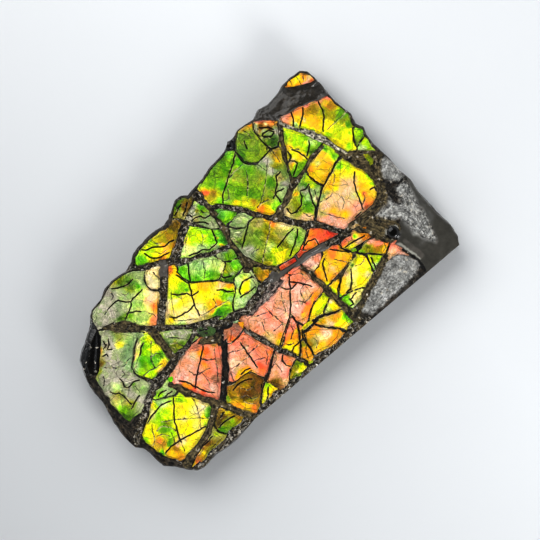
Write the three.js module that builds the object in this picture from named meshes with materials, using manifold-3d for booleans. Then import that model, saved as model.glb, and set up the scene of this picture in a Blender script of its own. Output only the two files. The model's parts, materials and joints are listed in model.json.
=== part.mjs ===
// Ammolite specimen: broken plates of iridescent ammonite shell lying in pockets of a thin slab of dark
// shale, whose veins stand up between them. One long edge is sawn straight, the others are broken.
// Millimetres, +Z up. +X runs along the sawn edge, +Y away from it, +Z out of the shell face. The origin
// is under the middle of the slab, on the plane that it lies on.

import * as THREE from 'three';
import { mergeVertices } from 'three/addons/utils/BufferGeometryUtils.js';
import Module from 'manifold-3d';

// --- Driving dimensions -------------------------------------------------------------------------------

const SEAT_HEIGHT = 4.8; // floor of the pockets above the underside
const SHELL_THICKNESS = 1.5; // a plate in the middle of the slab
const ARCH = 0.45; // how much lower the shell face lies at the two long edges
const HALF_DEPTH = 18; // middle of the slab to a long edge
const VEIN_DROP = 0.22; // vein crests below the plates' faces
const VEIN_ROUGHNESS = 0.16; // random height of a vein's facets
const PLAY = 0.12; // clearance round a plate in its pocket, and width of a tight crack
const WORN_EDGE = 0.2; // bevel outside the outline of a plate's face
const PLATE_TILT = 0.012; // largest slope of one plate against the general face
const PLATE_STEP = 0.1; // largest step of one plate against the general face
const CHIP_LENGTH = 4.2; // a longer fracture edge is chipped once more at its middle
const CHIP_DEPTH = 0.16; // how far such a chip strays
const CHIP_WANDER = 0.12; // how far it lies from the middle, as a share of the edge
const UNDULATION = { rise: 0.1, lengthX: 8, lengthY: 6, phase: 0.6 }; // slow waves of the shell face
const POCKET_CLEAR = 4; // pocket tools reach this far above the seat

const SHALE_COLOUR = 0x3c3732;
const SHALE_ROUGHNESS = 0.45;
const SHELL_ROUGHNESS = 0.15;

// --- Outline of the slab, seen from above -------------------------------------------------------------

const SAWN_Y = -17.6;
const SAWN_START_X = -12.2;
const SAWN_END_X = 28.2;
const SAWN_STEPS = 23;

// Broken foot between the left corner and the sawn edge, left to right.
const FOOT = [
  [-23.8, -18.0], [-22.6, -18.3], [-21.4, -18.1], [-19.9, -18.0], [-18.7, -18.2], [-17.5, -18.3],
  [-16.2, -18.3], [-15.0, -18.1], [-13.7, -17.9],
];

// Broken right end, sawn edge to tip.
const RIGHT_END = [
  [28.2, -17.6], [29.0, -16.4], [29.3, -14.4], [29.1, -13.0], [28.9, -11.4], [28.9, -9.6], [28.8, -7.6],
  [29.0, -5.4], [28.9, -3.2], [28.7, -1.0], [28.5, 0.8], [28.3, 2.5], [28.4, 4.2], [28.8, 5.3],
  [28.2, 6.4], [28.7, 8.0], [28.4, 9.4], [28.0, 10.9], [28.0, 12.4], [28.1, 14.2], [28.0, 15.8],
  [27.8, 17.1], [26.9, 18.0],
];

// Broken upper edge, left shoulder to tip.
const UPPER_EDGE = [
  [-20.3, 10.8], [-18.2, 11.2], [-16.7, 12.0], [-15.0, 12.2], [-13.8, 12.1], [-12.6, 11.9],
  [-11.2, 12.4], [-10.4, 13.1], [-9.1, 13.5], [-7.4, 13.7], [-5.9, 13.8], [-3.8, 13.5], [-2.6, 13.9],
  [-1.0, 14.7], [-0.1, 15.3], [1.1, 15.2], [1.9, 14.6], [3.7, 14.9], [5.1, 15.1], [6.9, 15.6],
  [9.2, 15.9], [10.5, 16.1], [11.7, 16.8], [12.9, 16.8], [13.9, 17.2], [15.7, 17.1], [16.8, 16.9],
  [18.3, 17.6], [20.0, 17.2], [22.2, 17.5], [23.4, 18.0], [25.2, 18.1], [26.9, 18.0],
];

// Broken left end, foot to shoulder.
const LEFT_END = [
  [-23.8, -18.0], [-25.0, -16.8], [-26.0, -15.4], [-27.2, -14.2], [-27.6, -12.8], [-27.6, -11.4],
  [-27.9, -10.1], [-28.8, -9.3], [-29.0, -7.9], [-28.9, -6.2], [-28.8, -4.4], [-28.4, -2.6],
  [-28.1, -0.9], [-28.1, 0.9], [-27.9, 2.8], [-27.4, 4.6], [-26.6, 6.2], [-25.4, 7.2], [-24.2, 7.8],
  [-22.9, 8.6], [-21.8, 9.4], [-21.1, 10.3], [-20.3, 10.8],
];

// --- Shell plates: fracture outlines, anticlockwise, with their colours -------------------------------

const PLATES = {
  smoke_upper: { colour: 0xb0b08c, outline: [
    [-13.8, 11.6], [-15.0, 11.7], [-16.6, 11.4], [-17.9, 10.8], [-19.3, 10.4], [-20.3, 10.0],
    [-20.9, 9.1], [-20.8, 8.2], [-20.3, 7.7], [-19.0, 7.4], [-17.4, 7.0], [-16.5, 6.2], [-16.3, 4.8],
    [-15.4, 3.7], [-14.3, 2.8], [-12.9, 4.2], [-11.8, 5.5], [-11.0, 6.4], [-11.6, 7.1], [-11.7, 8.1],
    [-11.5, 9.1], [-10.7, 10.2], [-11.7, 11.1], [-12.7, 11.4],
  ] },
  cream: { colour: 0xe0d8a0, outline: [
    [-11.0, 9.0], [-11.4, 8.2], [-11.3, 7.3], [-10.6, 6.7], [-9.7, 7.7], [-8.8, 8.9], [-10.1, 9.6],
  ] },
  amber_shoulder: { colour: 0xd8b820, outline: [
    [-2.9, 12.7], [-3.8, 12.5], [-5.1, 12.4], [-6.4, 12.8], [-7.5, 12.8], [-8.9, 12.6], [-9.8, 12.0],
    [-9.9, 11.2], [-8.9, 10.5], [-7.4, 9.9], [-6.3, 9.2], [-5.1, 9.9], [-3.9, 10.6], [-2.7, 11.6],
    [-2.0, 12.6],
  ] },
  olive_crust: { colour: 0x7a8040, outline: [
    [-0.7, 14.4], [-1.6, 13.6], [-1.2, 12.7], [0.0, 12.6], [1.3, 13.2], [1.5, 14.1], [0.4, 14.8],
  ] },
  pale_wedge: { colour: 0xc0b890, outline: [
    [0.7, 12.5], [-0.2, 11.7], [0.5, 10.2], [1.4, 8.5], [2.4, 7.8], [2.6, 9.2], [2.5, 10.9],
    [1.6, 12.7],
  ] },
  leaf_window: { colour: 0x8cd81c, outline: [
    [-1.9, 9.9], [-2.9, 9.2], [-4.0, 8.8], [-4.8, 8.1], [-3.8, 7.2], [-1.7, 6.6], [-0.6, 6.1],
    [0.8, 5.5], [1.7, 5.5], [2.0, 7.6], [1.4, 8.1], [0.3, 9.3], [-0.9, 10.1],
  ] },
  mint: { colour: 0x90d840, outline: [
    [-6.6, 6.7], [-6.5, 5.6], [-6.0, 4.4], [-4.9, 3.6], [-3.0, 2.2], [-1.5, 2.5], [-0.7, 3.0],
    [-1.0, 4.3], [-3.1, 5.7], [-5.0, 6.7], [-5.9, 7.1],
  ] },
  lemon_field: { colour: 0xe8e020, outline: [
    [-8.9, 6.3], [-10.5, 4.5], [-12.3, 2.1], [-12.2, 1.0], [-10.4, -0.3], [-8.3, -1.3], [-6.2, -2.1],
    [-4.3, -2.4], [-3.2, -1.8], [-2.1, -1.1], [-1.8, -0.2], [-3.0, 1.6], [-5.0, 3.1], [-6.3, 4.0],
    [-6.9, 5.2], [-6.6, 7.2], [-7.4, 7.9],
  ] },
  mint_chip: { colour: 0xa0d880, outline: [
    [-0.5, 4.4], [-0.2, 3.8], [0.5, 3.0], [1.1, 3.3], [1.1, 4.0], [0.4, 4.5],
  ] },
  lime_step: { colour: 0x90c828, outline: [
    [-1.3, 2.1], [-2.4, 1.5], [-1.4, 0.6], [0.1, 0.9], [0.7, 1.4], [0.5, 2.4], [-0.2, 2.9],
  ] },
  lemon_eye: { colour: 0xf0e830, outline: [
    [-1.4, -0.9], [-2.8, -1.7], [-3.3, -2.8], [-2.4, -3.4], [-0.9, -3.3], [0.5, -3.0], [1.4, -2.4],
    [1.4, -0.5], [0.7, 0.2], [-0.6, 0.4],
  ] },
  olive_chip: { colour: 0x8a8010, outline: [
    [1.9, -2.0], [2.2, -2.6], [3.2, -2.6], [4.0, -1.9], [2.4, -0.8],
  ] },
  emerald: { colour: 0x30b020, outline: [
    [3.2, 9.2], [3.4, 8.0], [4.5, 7.7], [5.7, 8.0], [4.2, 9.5],
  ] },
  sage: { colour: 0xa8b888, outline: [
    [4.2, 6.9], [4.6, 6.0], [5.3, 5.4], [6.0, 5.8], [6.7, 5.9], [5.7, 7.2],
  ] },
  olive_leaf: { colour: 0x98a028, outline: [
    [6.5, 5.2], [5.7, 5.0], [4.5, 5.5], [3.4, 6.2], [2.7, 5.4], [2.7, 3.5], [2.7, 2.1], [3.3, 0.6],
    [4.1, -0.9], [5.2, -2.0], [6.7, -2.5], [7.9, -2.6], [9.2, -2.5], [10.8, -1.8], [11.7, -1.2],
    [11.3, -0.3], [10.2, 1.4], [9.2, 2.8], [8.2, 3.9], [7.0, 4.7],
  ] },
  spring_green: { colour: 0x70a818, outline: [
    [4.1, 14.2], [3.9, 12.9], [4.0, 11.3], [5.9, 9.4], [7.4, 7.7], [8.5, 6.0], [9.8, 4.3], [11.7, 4.6],
    [13.5, 5.3], [14.9, 6.5], [15.8, 8.7], [16.1, 10.7], [15.0, 11.3], [12.9, 11.1], [11.9, 11.8],
    [11.3, 12.9], [11.3, 14.8], [10.0, 15.4], [7.6, 15.2], [5.2, 14.5],
  ] },
  olive_shoulder: { colour: 0x8ca030, outline: [
    [12.9, 16.0], [12.0, 14.9], [11.9, 13.9], [12.5, 12.1], [13.3, 11.6], [15.1, 11.8], [15.5, 12.5],
    [15.5, 14.4], [15.6, 15.7], [16.0, 16.4], [15.3, 16.8], [13.9, 16.8],
  ] },
  rust_eye: { colour: 0xb06838, outline: [
    [16.3, 15.8], [15.9, 14.7], [15.8, 13.6], [16.1, 12.6], [16.6, 12.3], [17.6, 12.7], [18.3, 13.3],
    [18.7, 14.0], [18.7, 14.9], [17.6, 15.8], [16.8, 16.3],
  ] },
  lime_band: { colour: 0xb8d830, outline: [
    [18.2, 11.1], [17.7, 10.0], [16.8, 8.8], [16.2, 7.6], [15.8, 6.5], [16.1, 6.1], [17.8, 6.4],
    [19.0, 6.9], [20.5, 7.6], [21.7, 7.8], [21.2, 8.8], [20.6, 10.5], [19.8, 11.8], [19.1, 12.4],
  ] },
  top_plate: { colour: 0xd0b028, outline: [
    [20.0, 13.7], [20.4, 13.0], [22.0, 10.9], [23.4, 8.7], [23.8, 6.2], [24.2, 4.7], [24.5, 4.0],
    [25.3, 3.9], [27.0, 6.0], [28.0, 8.2], [27.9, 9.2], [27.5, 10.7], [27.6, 11.6], [27.4, 12.1],
    [25.9, 12.5], [23.1, 13.4], [21.7, 13.9], [20.2, 14.4],
  ] },
  tip_cap: { colour: 0xf0a028, outline: [
    [24.6, 16.7], [25.8, 16.1], [27.0, 15.5], [27.6, 15.4], [27.5, 16.3], [27.0, 16.9], [26.2, 17.4],
    [25.1, 17.6], [24.3, 17.6], [23.9, 17.2],
  ] },
  apricot_wedge: { colour: 0xe0b050, outline: [
    [21.2, 6.5], [19.9, 6.2], [18.6, 5.7], [17.8, 5.0], [17.8, 4.2], [18.0, 3.2], [18.5, 2.6],
    [20.3, 3.4], [22.1, 4.1], [22.5, 5.9], [21.9, 6.6],
  ] },
  peach_fan: { colour: 0xf0b868, outline: [
    [20.6, 3.0], [18.2, 2.1], [15.8, 0.4], [14.3, -0.9], [15.3, -2.7], [16.6, -4.2], [18.8, -4.4],
    [20.8, -4.4], [22.1, -4.4], [23.4, -3.9], [24.3, -2.1], [24.4, -1.0], [24.1, 0.2], [23.6, 1.2],
    [22.7, 2.6], [22.2, 3.6],
  ] },
  pistachio: { colour: 0xb8c060, outline: [
    [14.0, 4.1], [12.9, 3.7], [11.6, 3.6], [11.3, 3.0], [13.0, 0.8], [13.9, -0.4], [15.6, 0.9],
    [17.0, 1.8], [17.9, 2.7], [17.7, 3.9], [17.4, 5.3], [16.4, 5.2], [15.0, 4.4],
  ] },
  lime_edge: { colour: 0xa0d020, outline: [
    [26.6, 4.8], [26.5, 4.1], [27.6, 4.3], [27.9, 5.2], [27.3, 5.8],
  ] },
  edge_chip: { colour: 0x80b020, outline: [
    [26.5, 3.1], [26.8, 2.5], [27.4, 2.2], [27.7, 3.8], [27.0, 3.6],
  ] },
  flame: { colour: 0xf06028, outline: [
    [11.8, -1.7], [11.0, -2.2], [10.0, -2.5], [8.7, -2.8], [8.6, -3.4], [9.7, -3.3], [12.2, -3.8],
    [14.7, -4.4], [14.5, -3.2], [13.8, -2.2], [12.7, -1.3],
  ] },
  pink: { colour: 0xf89888, outline: [
    [8.4, -5.5], [9.0, -6.3], [9.9, -6.2], [11.3, -5.4], [9.7, -4.7], [8.7, -4.7],
  ] },
  tangerine: { colour: 0xf8a820, outline: [
    [10.5, -6.1], [9.1, -6.5], [9.1, -7.5], [9.5, -9.0], [10.3, -9.1], [12.8, -8.9], [14.5, -8.3],
    [14.7, -7.6], [14.2, -6.5], [14.2, -5.7], [13.1, -5.6], [11.7, -5.6],
  ] },
  orange_ledge: { colour: 0xf08840, outline: [
    [14.6, -6.5], [15.6, -7.5], [18.7, -8.0], [18.8, -7.4], [17.7, -6.4], [15.7, -5.8], [14.9, -5.9],
  ] },
  coral_olive: { colour: 0xd88858, outline: [
    [16.5, -8.9], [17.2, -9.7], [18.7, -11.2], [20.1, -10.5], [18.4, -8.3], [16.9, -8.4],
  ] },
  coral_point: { colour: 0xe87868, outline: [
    [19.2, -11.6], [20.0, -12.5], [20.9, -12.6], [20.3, -10.9],
  ] },
  lemon_slope: { colour: 0xf0e020, outline: [
    [12.7, -9.5], [11.0, -10.3], [10.0, -11.0], [9.9, -11.9], [11.4, -12.0], [13.2, -12.4],
    [15.2, -12.1], [15.8, -11.6], [16.2, -10.0], [14.9, -8.9],
  ] },
  lime_wedge: { colour: 0xb0d020, outline: [
    [16.1, -11.9], [18.2, -11.3], [16.7, -9.8],
  ] },
  pale_lime: { colour: 0xc8e880, outline: [
    [9.6, -13.8], [9.9, -14.4], [11.7, -14.1], [12.3, -13.4], [11.8, -13.1], [10.8, -12.7],
    [9.9, -12.3],
  ] },
  salmon_main: { colour: 0xf8a080, outline: [
    [6.5, -4.7], [5.3, -4.8], [3.3, -5.3], [0.0, -5.7], [-3.3, -5.6], [-3.9, -7.0], [-3.0, -9.8],
    [-2.4, -11.3], [-2.0, -11.5], [-0.4, -10.5], [2.2, -8.9], [2.3, -10.4], [3.8, -10.9],
    [6.0, -9.8], [7.6, -9.4], [7.9, -9.1], [7.8, -6.4], [7.6, -4.8],
  ] },
  sunset_tongue: { colour: 0xf8a050, outline: [
    [0.1, -10.7], [-1.8, -12.2], [-1.2, -13.5], [-0.8, -14.4], [0.2, -13.3], [1.2, -11.8], [1.8, -10.7],
    [1.9, -9.7],
  ] },
  yellow_strip: { colour: 0xf8e810, outline: [
    [5.3, -10.6], [4.2, -11.4], [5.8, -11.8], [8.0, -10.9], [7.7, -10.0], [6.3, -10.3],
  ] },
  lemon_corner: { colour: 0xf0e060, outline: [
    [6.4, -12.3], [8.3, -13.1], [8.0, -11.3],
  ] },
  gold: { colour: 0xe8b820, outline: [
    [4.9, -13.4], [6.6, -15.2], [8.0, -15.2], [8.2, -13.8], [7.2, -13.4], [4.9, -12.4],
  ] },
  honey: { colour: 0xe8b830, outline: [
    [1.4, -14.0], [1.0, -15.6], [3.1, -16.2], [5.3, -16.1], [6.0, -15.5], [3.0, -13.0], [2.2, -12.8],
  ] },
  gold_corner: { colour: 0xe0b020, outline: [
    [-0.7, -15.3], [0.4, -15.8], [0.9, -15.3], [0.7, -13.6],
  ] },
  salmon_quad: { colour: 0xf89070, outline: [
    [-6.7, -6.8], [-8.0, -6.9], [-9.8, -8.9], [-10.9, -11.1], [-10.3, -11.3], [-7.7, -11.5],
    [-6.9, -13.6], [-4.8, -12.2], [-3.8, -11.5], [-4.4, -9.4], [-5.3, -6.8],
  ] },
  salmon_chip: { colour: 0xf0a070, outline: [
    [-7.3, -6.4], [-6.3, -6.4], [-5.4, -6.0], [-5.8, -5.3], [-6.8, -5.8],
  ] },
  salmon_tail: { colour: 0xf09068, outline: [
    [-6.8, -14.6], [-5.5, -16.5], [-3.9, -15.5], [-2.1, -14.3], [-2.8, -12.7], [-3.5, -12.1],
  ] },
  umber_fan: { colour: 0x907018, outline: [
    [-12.4, -12.1], [-12.7, -12.8], [-12.1, -15.3], [-11.0, -16.6], [-9.2, -15.3], [-7.5, -13.8],
    [-8.5, -11.7], [-11.2, -11.7],
  ] },
  olive_toe: { colour: 0xb0b018, outline: [
    [-9.5, -16.3], [-8.1, -16.5], [-7.2, -16.0], [-7.4, -14.8],
  ] },
  lime_kidney: { colour: 0xd0d818, outline: [
    [-3.8, -16.3], [-2.8, -16.7], [-1.5, -16.7], [-1.2, -15.9], [-2.2, -15.4], [-3.1, -15.6],
  ] },
  ember: { colour: 0xf08060, outline: [
    [-13.8, -3.4], [-15.0, -3.9], [-17.0, -5.5], [-17.1, -7.0], [-15.6, -10.1], [-14.2, -11.7],
    [-11.7, -9.3], [-10.5, -7.8], [-9.2, -5.3], [-10.8, -4.2], [-12.7, -3.5],
  ] },
  smoke_lower: { colour: 0xb0b088, outline: [
    [-22.5, 5.8], [-25.2, 3.0], [-26.3, 2.5], [-26.5, 1.6], [-26.6, -0.8], [-26.9, -3.3],
    [-26.2, -5.2], [-24.7, -5.3], [-23.0, -4.6], [-21.0, -3.5], [-20.9, -2.9], [-21.9, -0.6],
    [-21.4, 0.4], [-18.9, 2.7], [-17.9, 3.9], [-18.6, 4.2], [-20.5, 6.6], [-21.3, 7.0],
  ] },
  green_heart: { colour: 0x78c028, outline: [
    [-19.5, 1.3], [-20.9, 0.1], [-21.0, -1.4], [-19.9, -2.9], [-18.0, -2.7], [-17.1, -2.4],
    [-16.6, -0.6], [-16.3, 0.9], [-16.6, 1.9], [-17.6, 2.4], [-18.6, 2.1],
  ] },
  olive_glass: { colour: 0x6a6c18, outline: [
    [-14.6, -0.6], [-14.6, -1.9], [-13.5, -2.3], [-12.6, -2.2], [-11.1, -1.6], [-12.5, -0.2],
    [-14.2, 0.5],
  ] },
  citrus: { colour: 0xd8e838, outline: [
    [-23.0, -6.6], [-24.3, -7.2], [-26.5, -8.5], [-26.8, -9.6], [-26.4, -11.5], [-25.6, -13.3],
    [-24.7, -14.6], [-23.5, -15.0], [-21.1, -14.7], [-19.1, -14.0], [-17.3, -13.0], [-16.0, -11.9],
    [-17.6, -9.0], [-18.9, -7.5], [-20.3, -6.7], [-22.0, -6.0],
  ] },
  strip_upper: { colour: 0x8a8018, outline: [
    [-16.9, -15.3], [-15.8, -16.1], [-13.8, -16.1], [-14.4, -14.1], [-15.1, -13.7],
  ] },
  strip_lower: { colour: 0xa07818, outline: [
    [-20.3, -15.6], [-22.1, -16.2], [-24.0, -17.0], [-22.1, -16.9], [-19.8, -16.5], [-17.9, -16.5],
    [-18.2, -15.2],
  ] },
  mint_crust: { colour: 0xa8c878, outline: [
    [-21.2, -5.6], [-20.2, -6.2], [-19.1, -6.8], [-19.0, -6.2], [-19.7, -5.0], [-20.7, -4.8],
  ] },
  red_sliver: { colour: 0xf04828, outline: [
    [5.3, -3.1], [6.5, -3.3], [7.9, -3.5], [8.0, -3.0], [6.7, -2.7], [5.4, -2.6],
  ] },
  lemon_sliver: { colour: 0xf0d820, outline: [
    [9.2, -10.6], [9.4, -11.1], [10.5, -10.5], [11.0, -9.7], [9.4, -9.9],
  ] },
};

// --- Relief of the bare shale -------------------------------------------------------------------------

// Broad swells and hollows of the bare stone: centre, reach along X and Y, and rise at the centre.
const SWELLS = [
  { at: [-22.8, 8.0], reach: [1.8, 1.8], rise: 0.5 }, // black boss on the left shoulder, three domes
  { at: [-25.0, 5.9], reach: [2.0, 2.2], rise: 0.6 },
  { at: [-26.4, 3.8], reach: [1.7, 2.0], rise: 0.5 },
  { at: [27.5, -2.7], reach: [2.0, 2.6], rise: 0.3 }, // grey granular stone at the right end
  { at: [25.5, -8.8], reach: [2.8, 5.4], rise: 0.45 },
  { at: [16.8, -15.6], reach: [6.0, 2.2], rise: 0.3 }, // grey granular stone on the sawn edge
  { at: [24.7, -14.9], reach: [4.6, 2.6], rise: -0.45 }, // smooth dark nose at the sawn corner
  { at: [21.2, 15.8], reach: [3.4, 1.5], rise: -0.3 }, // smooth hollow between tip and top plate
];

// Rounded lumps grown on the shale: centre, radius and how far the centre lies above the seat.
const LUMPS = [
  { at: [22.0, -9.7], radius: 1.0, lift: 1.25 },
  { at: [11.7, 16.0], radius: 0.9, lift: 0.9 },
  { at: [26.4, -6.2], radius: 1.1, lift: 1.3 },
  { at: [25.0, -10.6], radius: 1.2, lift: 1.35 },
  { at: [27.0, -11.2], radius: 0.9, lift: 1.1 },
  { at: [27.2, -2.2], radius: 0.9, lift: 1.1 },
  { at: [14.6, -15.3], radius: 1.1, lift: 1.1 },
  { at: [18.2, -15.7], radius: 1.1, lift: 1.1 },
];
const LUMP_SIDES = 6;
const LUMP_RINGS = 4;
const LUMP_FLATNESS = 0.6; // height over width

// Ledges of the broken sides, from the underside up: height, set-back and how much both vary.
const LEDGES = [
  { height: 0, back: 0.9, vary: 0.35 },
  { height: 1.5, back: 0.35, vary: 0.25 },
  { height: 3.3, back: 0.0, vary: 0.0 },
  { height: 4.9, back: 0.15, vary: 0.15 },
];
const LEDGE_WANDER = 0.35; // random height of a ledge
const RIM = { back: 0.35, vary: 0.12, drop: 0.35 }; // top rim: set-back, its variation, drop below crests

// --- Small tools --------------------------------------------------------------------------------------

const WELD = 1e-4; // corners closer than this are one
const MITRE_LIMIT = 0.9; // a sharp corner moves no further than this times its edges' joint normal

// Repeatable random numbers from 0 to 1 (the mulberry generator).
function randomSource(seed) {
  let state = seed;
  return () => {
    state = (state + 0x6d2b79f5) | 0;
    let t = Math.imul(state ^ (state >>> 15), 1 | state);
    t = (t + Math.imul(t ^ (t >>> 7), 61 | t)) ^ t;
    return ((t ^ (t >>> 14)) >>> 0) / 4294967296;
  };
}

// A random number from -size to size.
const spread = (random, size) => (2 * random() - 1) * size;

// Height of the shell face: arched across the slab, with a slow undulation along it.
function faceHeight(x, y) {
  const { rise, lengthX, lengthY, phase } = UNDULATION;
  const wave = rise * Math.sin(x / lengthX + phase) * Math.cos(y / lengthY);
  return SEAT_HEIGHT + SHELL_THICKNESS - ARCH * (y / HALF_DEPTH) ** 2 + wave;
}

// Height of the shale between and around the plates.
function shaleHeight(x, y) {
  let height = faceHeight(x, y) - VEIN_DROP;
  for (const { at, reach, rise } of SWELLS) {
    const distance = ((x - at[0]) / reach[0]) ** 2 + ((y - at[1]) / reach[1]) ** 2;
    height += rise * Math.max(0, 1 - distance);
  }
  return height;
}

// A closed outline moved inwards by a distance, each edge parallel to itself.
function insetOutline(outline, distance) {
  const count = outline.length;
  return outline.map((corner, i) => {
    const before = outline[(i + count - 1) % count];
    const after = outline[(i + 1) % count];
    const inward = (from, to) => {
      const length = Math.hypot(to[0] - from[0], to[1] - from[1]);
      return [-(to[1] - from[1]) / length, (to[0] - from[0]) / length];
    };
    const first = inward(before, corner);
    const second = inward(corner, after);
    const sum = [first[0] + second[0], first[1] + second[1]];
    const mitre = Math.min(2 / (sum[0] ** 2 + sum[1] ** 2), MITRE_LIMIT);
    return [corner[0] + sum[0] * mitre * distance, corner[1] + sum[1] * mitre * distance];
  });
}

// A fracture outline with its long edges chipped at their middles.
function chipOutline(outline, random) {
  const chipped = [];
  outline.forEach((corner, i) => {
    const next = outline[(i + 1) % outline.length];
    const length = Math.hypot(next[0] - corner[0], next[1] - corner[1]);
    chipped.push(corner);
    if (length > CHIP_LENGTH) {
      const along = 0.5 + spread(random, CHIP_WANDER);
      const stray = spread(random, CHIP_DEPTH) / length;
      chipped.push([
        corner[0] + (next[0] - corner[0]) * along - (next[1] - corner[1]) * stray,
        corner[1] + (next[1] - corner[1]) * along + (next[0] - corner[0]) * stray,
      ]);
    }
  });
  return chipped;
}

// A closed body from rings of equal count, bottom to top, with flat or grid caps at its two ends.
function geometryFromRings(rings, { topGrid = null } = {}) {
  const count = rings[0].length;
  const positions = rings.flat(2);
  const index = [];
  for (let level = 0; level + 1 < rings.length; level += 1) {
    for (let i = 0; i < count; i += 1) {
      const j = (i + 1) % count;
      const low = level * count;
      const high = low + count;
      index.push(low + i, low + j, high + j, low + i, high + j, high + i);
    }
  }
  const cap = (ring) => THREE.ShapeUtils.triangulateShape(
    ring.map(([x, y]) => new THREE.Vector2(x, y)),
    [],
  );
  for (const [a, b, c] of cap(rings[0])) index.push(a, c, b);
  if (topGrid) {
    const base = positions.length / 3;
    positions.push(...topGrid.positions);
    index.push(...topGrid.index.map((i) => base + i));
  } else {
    const top = (rings.length - 1) * count;
    for (const [a, b, c] of cap(rings.at(-1))) index.push(top + a, top + b, top + c);
  }
  const geometry = new THREE.BufferGeometry();
  geometry.setAttribute('position', new THREE.Float32BufferAttribute(positions, 3));
  geometry.setIndex(index);
  return mergeVertices(geometry, WELD);
}

// --- Solids for joining and cutting -------------------------------------------------------------------

const wasm = await Module();
wasm.setup();

function solidFromGeometry(geometry) {
  const bare = geometry.clone();
  bare.deleteAttribute('normal');
  bare.deleteAttribute('uv');
  const merged = mergeVertices(bare, WELD);
  return new wasm.Manifold(new wasm.Mesh({
    numProp: 3,
    vertProperties: new Float32Array(merged.attributes.position.array),
    triVerts: new Uint32Array(merged.index.array),
  }));
}

function geometryFromSolid(solid) {
  const { vertProperties, triVerts } = solid.getMesh();
  const geometry = new THREE.BufferGeometry();
  geometry.setAttribute('position', new THREE.Float32BufferAttribute(vertProperties, 3));
  geometry.setIndex([...triVerts]);
  return geometry;
}

// --- Shell plates -------------------------------------------------------------------------------------

// One plate: flat underside on the seat, fractured walls, worn edge, and a face near the general height.
function plateSolid(outline, random) {
  const count = outline.length;
  const centre = [0, 1].map((axis) => outline.reduce((sum, p) => sum + p[axis], 0) / count);
  const slope = [spread(random, PLATE_TILT), spread(random, PLATE_TILT)];
  const step = spread(random, PLATE_STEP);
  const face = ([x, y]) => (
    faceHeight(x, y) + step + slope[0] * (x - centre[0]) + slope[1] * (y - centre[1])
  );
  const wall = insetOutline(outline, -WORN_EDGE);
  return solidFromGeometry(geometryFromRings([
    wall.map(([x, y]) => [x, y, SEAT_HEIGHT]),
    wall.map(([x, y]) => [x, y, face([x, y]) - WORN_EDGE]),
    outline.map(([x, y]) => [x, y, face([x, y])]),
  ]));
}

// The tool that cuts a plate's pocket in the shale, and its crack in a plate that lies against it.
function pocketSolid(outline) {
  const clear = insetOutline(outline, -WORN_EDGE - PLAY);
  return solidFromGeometry(geometryFromRings([
    clear.map(([x, y]) => [x, y, SEAT_HEIGHT]),
    clear.map(([x, y]) => [x, y, SEAT_HEIGHT + POCKET_CLEAR]),
  ]));
}

// --- Shale slab ---------------------------------------------------------------------------------------

// The foot and the sawn edge, left to right.
function lowerEdge() {
  const sawn = Array.from({ length: SAWN_STEPS + 1 }, (_, i) => [
    SAWN_START_X + (SAWN_END_X - SAWN_START_X) * (i / SAWN_STEPS),
    SAWN_Y,
  ]);
  return [...FOOT, ...sawn];
}

const isSawn = ([x, y]) => y === SAWN_Y && x >= SAWN_START_X;

// Ledge ring: the outline set back along its normals, except along the sawn edge.
function ledgeRing(outline, { height, back, vary }, random) {
  const count = outline.length;
  return outline.map((corner, i) => {
    const setBack = Math.max(0, back + spread(random, vary));
    const wander = height > 0 ? spread(random, LEDGE_WANDER) : 0;
    if (isSawn(corner)) return [corner[0], corner[1], height + wander];
    const before = outline[(i + count - 1) % count];
    const after = outline[(i + 1) % count];
    const along = [after[0] - before[0], after[1] - before[1]];
    const length = Math.hypot(...along);
    return [
      corner[0] - (along[1] / length) * setBack,
      corner[1] + (along[0] / length) * setBack,
      height + wander,
    ];
  });
}

// The rough top: a grid stretched between the four edges of the rim ring.
function topGrid(rim, columns, rows, random) {
  const south = rim.slice(0, columns + 1);
  const east = rim.slice(columns, columns + rows + 1);
  const north = rim.slice(columns + rows, 2 * columns + rows + 1).reverse();
  const west = [...rim.slice(2 * columns + rows), rim[0]].reverse();
  const positions = [];
  for (let row = 0; row <= rows; row += 1) {
    for (let column = 0; column <= columns; column += 1) {
      const s = column / columns;
      const t = row / rows;
      const onRim = row === 0 || row === rows || column === 0 || column === columns;
      const point = [0, 1, 2].map((axis) => (
        (1 - t) * south[column][axis] + t * north[column][axis]
        + (1 - s) * west[row][axis] + s * east[row][axis]
        - (1 - s) * (1 - t) * south[0][axis] - s * (1 - t) * south[columns][axis]
        - (1 - s) * t * north[0][axis] - s * t * north[columns][axis]
      ));
      if (!onRim) point[2] = shaleHeight(point[0], point[1]) + spread(random, VEIN_ROUGHNESS);
      positions.push(...point);
    }
  }
  const index = [];
  for (let row = 0; row < rows; row += 1) {
    for (let column = 0; column < columns; column += 1) {
      const a = row * (columns + 1) + column;
      const b = a + 1;
      const c = b + columns + 1;
      const d = a + columns + 1;
      index.push(a, b, c, a, c, d);
    }
  }
  return { positions, index };
}

function slabSolid(random) {
  const lower = lowerEdge();
  const columns = lower.length - 1;
  const rows = RIGHT_END.length - 1;
  const outline = [
    ...lower,
    ...RIGHT_END.slice(1),
    ...UPPER_EDGE.slice(0, -1).reverse(),
    ...LEFT_END.slice(1, -1).reverse(),
  ];
  const rings = LEDGES.map((ledge) => ledgeRing(outline, ledge, random));
  const rim = ledgeRing(outline, { height: 0, ...RIM }, random).map(([x, y]) => (
    [x, y, shaleHeight(x, y) - RIM.drop + spread(random, VEIN_ROUGHNESS)]
  ));
  return solidFromGeometry(geometryFromRings([...rings, rim], {
    topGrid: topGrid(rim, columns, rows, random),
  }));
}

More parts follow.
